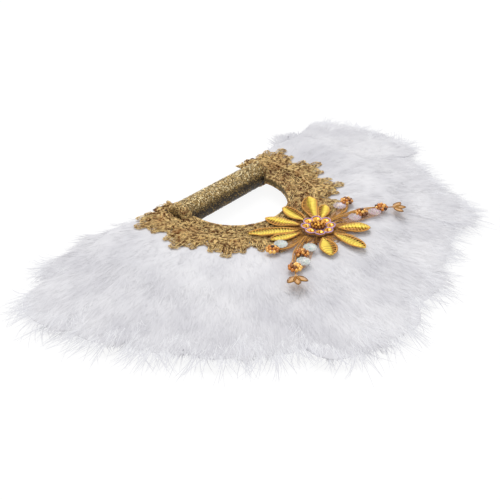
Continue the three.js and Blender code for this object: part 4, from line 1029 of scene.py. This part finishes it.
for index, side in enumerate(FILL_SIDES):
    # Padded fill: a dome between the outer edge and a line past the middle, its stitches raised one by one
    length = PETAL_REACHES[index] - PETAL_START
    way = np.linspace(0.02, 0.98, int(length / STITCH_PITCH) * 3)
    along, left, right = petal_edges(index, way)
    outer, inner = (left, right) if side < 0 else (right, left)
    ridge = np.abs(np.sin(np.arange(len(way)) * np.pi / 3 + 0.5)) ** 1.5
    from_edge, to_edge = outer * 0.94, -inner * (0.55 * ridge - 0.02)
    middle, half = side * (from_edge + to_edge) / 2, (from_edge - to_edge) / 2
    across = middle[:, None] + half[:, None] * np.array([-1, -0.35, 0.35, 1, 0.75, 0.3, -0.3, -0.75])
    slant = 1.6 * np.array([0.9, 0.35, 0.35, 0.9, 0.75, 0.3, 0.3, 0.75])
    above = 0.95 * PETAL_THICK * (0.62 + 0.38 * ridge) * np.sin(np.pi * way) ** 0.35
    above = np.array([0.3, 0.2, 0.2, 0.3, 0.78, 1.0, 1.0, 0.78]) * above[:, None]
    padded_fill = skinned(petal_point(index, along[:, None] + slant, across, above)[None], along=along)
    # Raised stitches are coloured lighter and the gaps darker: painted highlight and painted shade
    padded_fill["tone"] = np.repeat(0.4 + ridge * 0.5 + 0.25 * draw(len(way)), 8)
    # Base: a thin patch of copper thread under the ladder, coloured dark as painted shade between the rungs
    along, left, right = petal_edges(index, np.linspace(0.01, 0.99, 16))
    across = np.stack([-left, right, right, -left], -1) * 0.9
    corners = petal_point(index, along[:, None] + 0 * across, across, np.array([0.05, 0.05, 0.4, 0.4]))
    patch = skinned(corners[None], tone=0.25)
    # Ladder: short bars from the fill to the outline
    rungs, share = int(length * 0.86 / LADDER_PITCH), np.linspace(0, 1, 4)
    along, left, right = petal_edges(index, np.linspace(0.1, 0.93, rungs))
    across = -side * (right if side < 0 else left)[:, None] * (0.3 + 0.64 * share)
    path = petal_point(index, along[:, None] + 1.8 * (share - 0.5), across, 0.75 + 0.7 * (1 - share))
    ladder = carried(circle(4), path, 0.46, 0.42, tone=0.8 + 0.3 * draw(rungs))
    # Outline: two cords side by side
    along, left, right = petal_edges(index, np.linspace(0, 1, 26))
    outlines = []
    for inset, thick, above, tone in ((0.0, 0.42, 0.75, 0.6), (0.8, 0.3, 1.0, 1.0)):
        there = petal_point(index, along, np.maximum(right - inset, 0.3), above)
        back = petal_point(index, along, -np.maximum(left - inset, 0.3), above)[-2:0:-1]
        outlines.append(carried(circle(5), np.concatenate([there, back]), thick, closed=True, tone=tone))
    node = f"petal_{index + 1}"
    piece(f"{node}_fill", node, satin, "yellow_satin", padded_fill)
    piece(f"{node}_cords", node, copper_cord, "copper_cord", patch, ladder, *outlines)

# Ground: the net round the rosette is covered with curled copper thread and with cords that run out between
# the petals
turn, out_by = 2 * np.pi * draw(GROUND_CURLS), 15 + 15 * draw(GROUND_CURLS) ** 1.4
middle_x, middle_y = spun(out_by, 0.0, turn)
x, y = loops(GROUND_CURLS, 0.8, 0.9)
above = NET_ABOVE + 0.35 + 0.4 * draw(GROUND_CURLS)[:, None]
path = on_deck(middle_x[:, None] + x, FLOWER_Y + middle_y[:, None] + y, above)
curls = carried(circle(4), path, 0.3, 0.26, tone=draw(GROUND_CURLS))
starts = np.array([19, 57, 78, 100, 128, 150, 180, 210, 232, 259, 282, 303, 341])
turn = np.radians(90 - np.repeat(starts, 5) + np.tile(np.linspace(-5, 5, 5), len(starts)))[:, None]
out_by = 15 + (10 + 12 * draw(len(turn))[:, None]) * np.linspace(0, 1, 7)
x, y = spun(out_by, 0.0, turn + 0.05 * np.sin(out_by / 4) * chance.normal(0, 1, (len(turn), 1)))
spokes = carried(circle(4), on_deck(x, FLOWER_Y + y, NET_ABOVE + 0.7), 0.36, 0.32, tone=draw(len(turn)))
stitches = piece("flower_ground", "applique_net", copper_cord, "copper_cord", curls, spokes)

# ------------------------------------------------------------
# Rosette: eight shell sequins with lilac rims and gold cups, sewn in a ring over a copper pad, round a
# button of glass seed beads.

ROSETTE_LOW, ROSETTE_RADIUS, CUP_MIDDLE, BUTTON_LOW = 11.65, 16.5, 11.6, 14.3

# Moulded shell sequin: pearly lilac plastic whose film shifts to pink and mint
film = {"Thin Film Thickness": 420.0, "Thin Film IOR": 1.45}
plastic = {"Metallic": 0.3, "Roughness": 0.22, "Coat Weight": 0.5, **film}
lilac_sequin, tree = start_material("lilac_shell_sequin", plastic)
finish(tree, texture(tree, "Noise", 190.0)[0], "9A6CA8", "E6BFDC")
# Gold-foiled cups and seed beads: yellow gold, darker from bead to bead
foil = {"Metallic": 0.85, "Roughness": 0.25, "Coat Weight": 0.3}
gold_bead, tree = start_material("gold_foiled_bead", foil)
finish(tree, own(tree, "tone"), "7A3C0C", "F7B746")


def balls(middles, radii, tone):
    """Round beads: rings of eight corners along x, with radius sine(a) at distance cosine(a)."""
    turn = np.linspace(0.12, np.pi - 0.12, 6)
    steps = radii * np.stack([-np.cos(turn), 0 * turn, 0 * turn], -1)
    return carried(circle(8), np.asarray(middles)[:, None] + steps, radii * np.sin(turn), tone=tone)


def bead_rings(x, y, low, phase, rings):
    """Middles of beads heaped in rings of (radius, count, height over low)."""
    heap = []
    for ring_radius, count, height in rings:
        across, up = spun(ring_radius, 0.0, angles(count) + ring_radius + phase)
        heap.append(np.stack([x + across, y + up, low + height + 0 * up], -1))
    return np.concatenate(heap)


scallop = ROSETTE_RADIUS - 2.4 * (1 - np.abs(np.cos(angles(96) * 4)))
spread = scallop[:, None] * np.array([0.02, 0.5, 0.97, 1.0, 0.97, 0.5, 0.02])
x, y = spun(spread, 0.0, angles(96)[:, None])
rise = ROSETTE_LOW + np.array([0.0, 0.0, 0.1, 0.7, 1.3, 1.1, 1.0])
pad = skinned(np.stack([x, FLOWER_Y + y, 0 * x + rise], -1)[None], closed=True, tone=0.3)
rims, cups, hubs = [], [], []
loop, bowl = angles(20), np.linspace(0.05, 1, 6)[:, None]
rim = CUP_MIDDLE + 4.3 * np.cos(loop), 4.6 * np.sin(loop), ROSETTE_LOW + 2.1 + 0.5 * np.cos(loop)
bowl_height = ROSETTE_LOW + 1.2 + 1.1 * bowl**2 + 0 * loop
shell = CUP_MIDDLE + 3.6 * bowl * np.cos(loop), 3.9 * bowl * np.sin(loop), bowl_height
shell = [np.concatenate([part, part[::-1] - drop]) for part, drop in zip(shell, (0, 0, 0.35))]
for facing in angles(8):
    paths = []
    for out, aside, height in (rim, shell, (11.2, 0.0, ROSETTE_LOW + 2.3)):
        x, y = spun(out, aside, facing)
        paths.append(np.stack([x, FLOWER_Y + y, height], -1))
    rims.append(carried(circle(6), paths[0], 0.58, 0.5, closed=True))
    cups.append(skinned(paths[1][None], tone=0.55 + 0.4 * draw()))
    hubs.append(paths[2])
button = bead_rings(0.0, FLOWER_Y, BUTTON_LOW, 0.0, ((6.1, 12, 0.9), (3.4, 7, 2.0), (0.9, 2, 2.5)))
piece("rosette_pad", "rosette", copper_cord, "copper_cord", pad)
piece("rosette_rims", "rosette", lilac_sequin, "lilac_sequin", *rims)
piece("rosette_cups", "rosette", gold_bead, "gold_bead", *cups, balls(hubs, 0.9, 0.2))
seeds = balls(button, 1.5, draw(len(button)))
piece("rosette_seed_beads", "rosette_beads", gold_bead, "gold_bead", seeds)

# ------------------------------------------------------------
# Sprigs: on each side of the flower a stem of copper cords runs out over the down to three clusters of
# amber glass beads, each with a pearly cup sequin beside it, and ends in a knot of three leaf loops.

STEM_START = (18.0, FLOWER_Y)
CLUSTERS = ((57.12, 118.2), (46.2, 143.16), (67.2, 152.0))
KNOT = (76.44, 160.32)
MAIN_STEM = (STEM_START, (32.76, 131.2), (47.88, 135.88), (59.64, 145.24), (64.68, 149.4))
BRANCH = (STEM_START, (31.92, 127.04), (45.36, 127.56), (52.92, 121.32))
TWIG, TAIL = ((33, 132), (40, 137), (45, 141)), ((69, 154), (73, 157), KNOT)
CUP_OFFSET, CUP_RADIUS, CUP_DEPTH = 11.7, 6.4, 1.4
LOOP_DEGREES, LOOP_LENGTH, LOOP_HALF_WIDTH = (2, 50, 98), 12.0, 3.0
DOME = [(-1, 0), (-0.35, -0.02), (0.35, -0.02), (1, 0), (0.75, 0.7), (0.3, 1.0), (-0.3, 1.0), (-0.75, 0.7)]

# Amber glass: clear orange-brown beads, silver-lined, some nearly black
amber, tree = start_material("amber_glass_bead", {"Metallic": 0.45, "Roughness": 0.15, "Coat Weight": 0.6})
deep, bright = ranged(tree, own(tree, "tone"), 0.1, 0.45), ranged(tree, own(tree, "tone"), 0.5, 1.0)
finish(tree, bright, mixed(tree, deep, "4A2204", "CC7A1C"), "FFCB6B")
# Pearl sequin: a thin clear plastic cup with a hammered face, whose film looks mint, lilac or white from
# facet to facet. Those of the left sprig lean to mint, and those of the right one are clearer and pink
film = {"Thin Film Thickness": 480.0, "Thin Film IOR": 1.5}
pearl, tree = start_material("pearl_cup_sequin", {"Metallic": 0.1, "Roughness": 0.25, **film})
facets = texture(tree, "Voronoi", 820.0)
own_film, own_white = add_node(tree, "SeparateColor", {"Color": facets["Color"]}).outputs[:2]
across = add_node(tree, "SeparateXYZ", {0: add_node(tree, "TexCoord").outputs["Object"]}).outputs["X"]
own_film = maths(tree, "MULTIPLY_ADD", own_film, 0.5, ranged(tree, across, -0.03, 0.03, 0.75, 0.25))
film = mixed(tree, own_film, "9FF0DA", "ECC4E6")
finish(tree, own_white, film, "F3F4EA", facets[0], 0.6, 0.0003)
fill(tree, tree.nodes["Principled BSDF"], {"Alpha": ranged(tree, across, -0.03, 0.03, 0.3, 0.55)})
# Peach floss that fills the leaf loops
peach, tree = start_material("peach_floss", {"Roughness": 0.6, "Sheen Weight": 0.3})
ply = texture(tree, "Noise", 900.0)[0]
finish(tree, ply, "C78A4C", "F3C98C", ply, 0.4, 0.0002)


def leaf_width(way, wide):
    """Half width along a leaf: wide x sine(pi x way to the power 0.8) to the power 0.7."""
    return wide * np.sin(np.pi * np.clip(way, 0.003, 0.997) ** 0.8) ** 0.7 + 0.05


def bead_deck(x, y, spread=0.0):
    """Height that beadwork lies on at a point, taken spread millimetres further out."""
    return deck(from_ring(x, y) + spread) + BEADS_ABOVE


def smooth_path(points, steps, above):
    """A path on the deck: straight pieces rounded by three passes of corner cutting."""
    points = np.array(points, float)
    for _ in range(3):
        a, b = points[:-1], points[1:]
        cut = np.stack([0.75 * a + 0.25 * b, 0.25 * a + 0.75 * b], 1).reshape(-1, 2)
        points = np.concatenate([points[:1], cut, points[-1:]])
    way = np.concatenate([[0], np.cumsum(np.linalg.norm(np.diff(points, axis=0), axis=1))])
    x, y = [np.interp(np.linspace(0, way[-1], steps), way, column) for column in points.T]
    return on_deck(x, y, BEADS_ABOVE + above)


def beside(path, by):
    """The path moved sideways: its level normal times by."""
    ahead = unit(np.gradient(path[:, :2], axis=0))
    return path + by * np.stack([ahead[:, 1], -ahead[:, 0], 0 * ahead[:, 0]], -1)


def leaf_loop(start, degrees, length, half_width, thick, tone):
    """A closed cord along a leaf's outline: start + along x direction, and leaf_width to either side."""
    way = np.linspace(0, 1, 12)
    halves = (leaf_width(way, half_width), -1), (length * way, 1)
    across, along = [np.concatenate([half, sign * half[-2:0:-1]]) for half, sign in halves]
    x, y = spun(along, -across, math.radians(degrees))
    path = on_deck(start[0] + x, start[1] + y, BEADS_ABOVE + 0.7)
    return carried(circle(4), path, thick, closed=True, tone=tone)


main, branch = smooth_path(MAIN_STEM, 60, 0.8), smooth_path(BRANCH, 44, 0.8)
runs = [(beside(main, by), 0.34, tone) for by, tone in ((-1.5, 0.4), (-0.7, 0.85), (0.7, 0.5), (1.5, 0.9))]
runs += [(beside(branch, by), 0.34, tone) for by, tone in ((-0.9, 0.4), (0.0, 0.9), (0.9, 0.6))]
runs += [(smooth_path(TWIG, 20, 0.7), 0.45, 0.4), (smooth_path(TAIL, 16, 0.7), 0.55, 0.4)]
stems = [carried(circle(5), path, thick, tone=tone) for path, thick, tone in runs]
for start, degrees, length in (((31, 131), 24, 15), ((37, 128), -24, 12), ((44, 135), 52, 10)):
    for inset, thick, tone in ((0.0, 0.34, 0.3), (0.9, 0.28, 0.8)):
        stems.append(leaf_loop(start, degrees, length - inset, 2.8 - inset, thick, tone))
knot_loops, loop_fills, way = [], [], np.linspace(0, 1, 26)
for degrees in LOOP_DEGREES:
    turn = math.radians(degrees)
    start = (KNOT[0] + math.cos(turn), KNOT[1] + math.sin(turn))
    for inset, thick, tone in ((0.0, 0.42, 0.25), (1.0, 0.34, 0.7)):
        size = LOOP_LENGTH - 1.2 - inset, LOOP_HALF_WIDTH - inset
        knot_loops.append(leaf_loop(start, degrees, *size, thick, tone))
    x, y = spun(1.5 + (LOOP_LENGTH - 3.5) * way, 0.0, turn)
    path = on_deck(KNOT[0] + x, KNOT[1] + y, BEADS_ABOVE + 0.1)
    loop_fills.append(carried(DOME, path, leaf_width(way, LOOP_HALF_WIDTH - 0.9), 0.7))
loop_fills.append(balls([[*KNOT, bead_deck(*KNOT) + 1.0]], 1.5, 0.6))

for side, mirror in (("left", lambda shape: shape), ("right", lambda shape: flipped(shape, 0))):
    piece(f"{side}_stem_cords", f"{side}_stem", copper_cord, "copper_cord", *map(mirror, stems))
    piece(f"{side}_leaf_loops", f"{side}_cord_loops", copper_cord, "copper_cord", *map(mirror, knot_loops))
    piece(f"{side}_leaf_fills", f"{side}_cord_loops", peach, "organza", *map(mirror, loop_fills))
    for number, (x, y) in enumerate(CLUSTERS, 1):
        # Beads heaped in rings of nine, five and one
        heap = bead_rings(x, y, bead_deck(x, y, 5.0), number, ((4.9, 9, 1.3), (2.7, 5, 3.0), (0.0, 1, 4.0)))
        heap = mirror(balls(heap, 1.85, draw(len(heap))))
        piece(f"{side}_amber_beads_{number}", f"{side}_bead_cluster_{number}", amber, "gold_bead", heap)
        # Cup: a shallow bowl, closed by its under side, with eleven faint flutes
        middle_x, bowl = x - CUP_OFFSET, np.linspace(0.04, 1, 7)
        bowl = np.concatenate([bowl, bowl[::-1]])
        heights = bead_deck(middle_x, y, CUP_RADIUS) + np.repeat([0.0, 0.45], 7) + CUP_DEPTH * bowl**2
        turn = angles(36)[:, None]
        out, up = spun(CUP_RADIUS * bowl, 0.0, turn)
        cup = np.stack([middle_x + out, y + up, heights + 0.3 * np.sin(11 * turn) * bowl**2], -1)
        cup = mirror(skinned(cup[None], closed=True))
        piece(f"{side}_pearl_cup_{number}", f"{side}_cup_sequin_{number}", pearl, "pearl_sequin", cup)
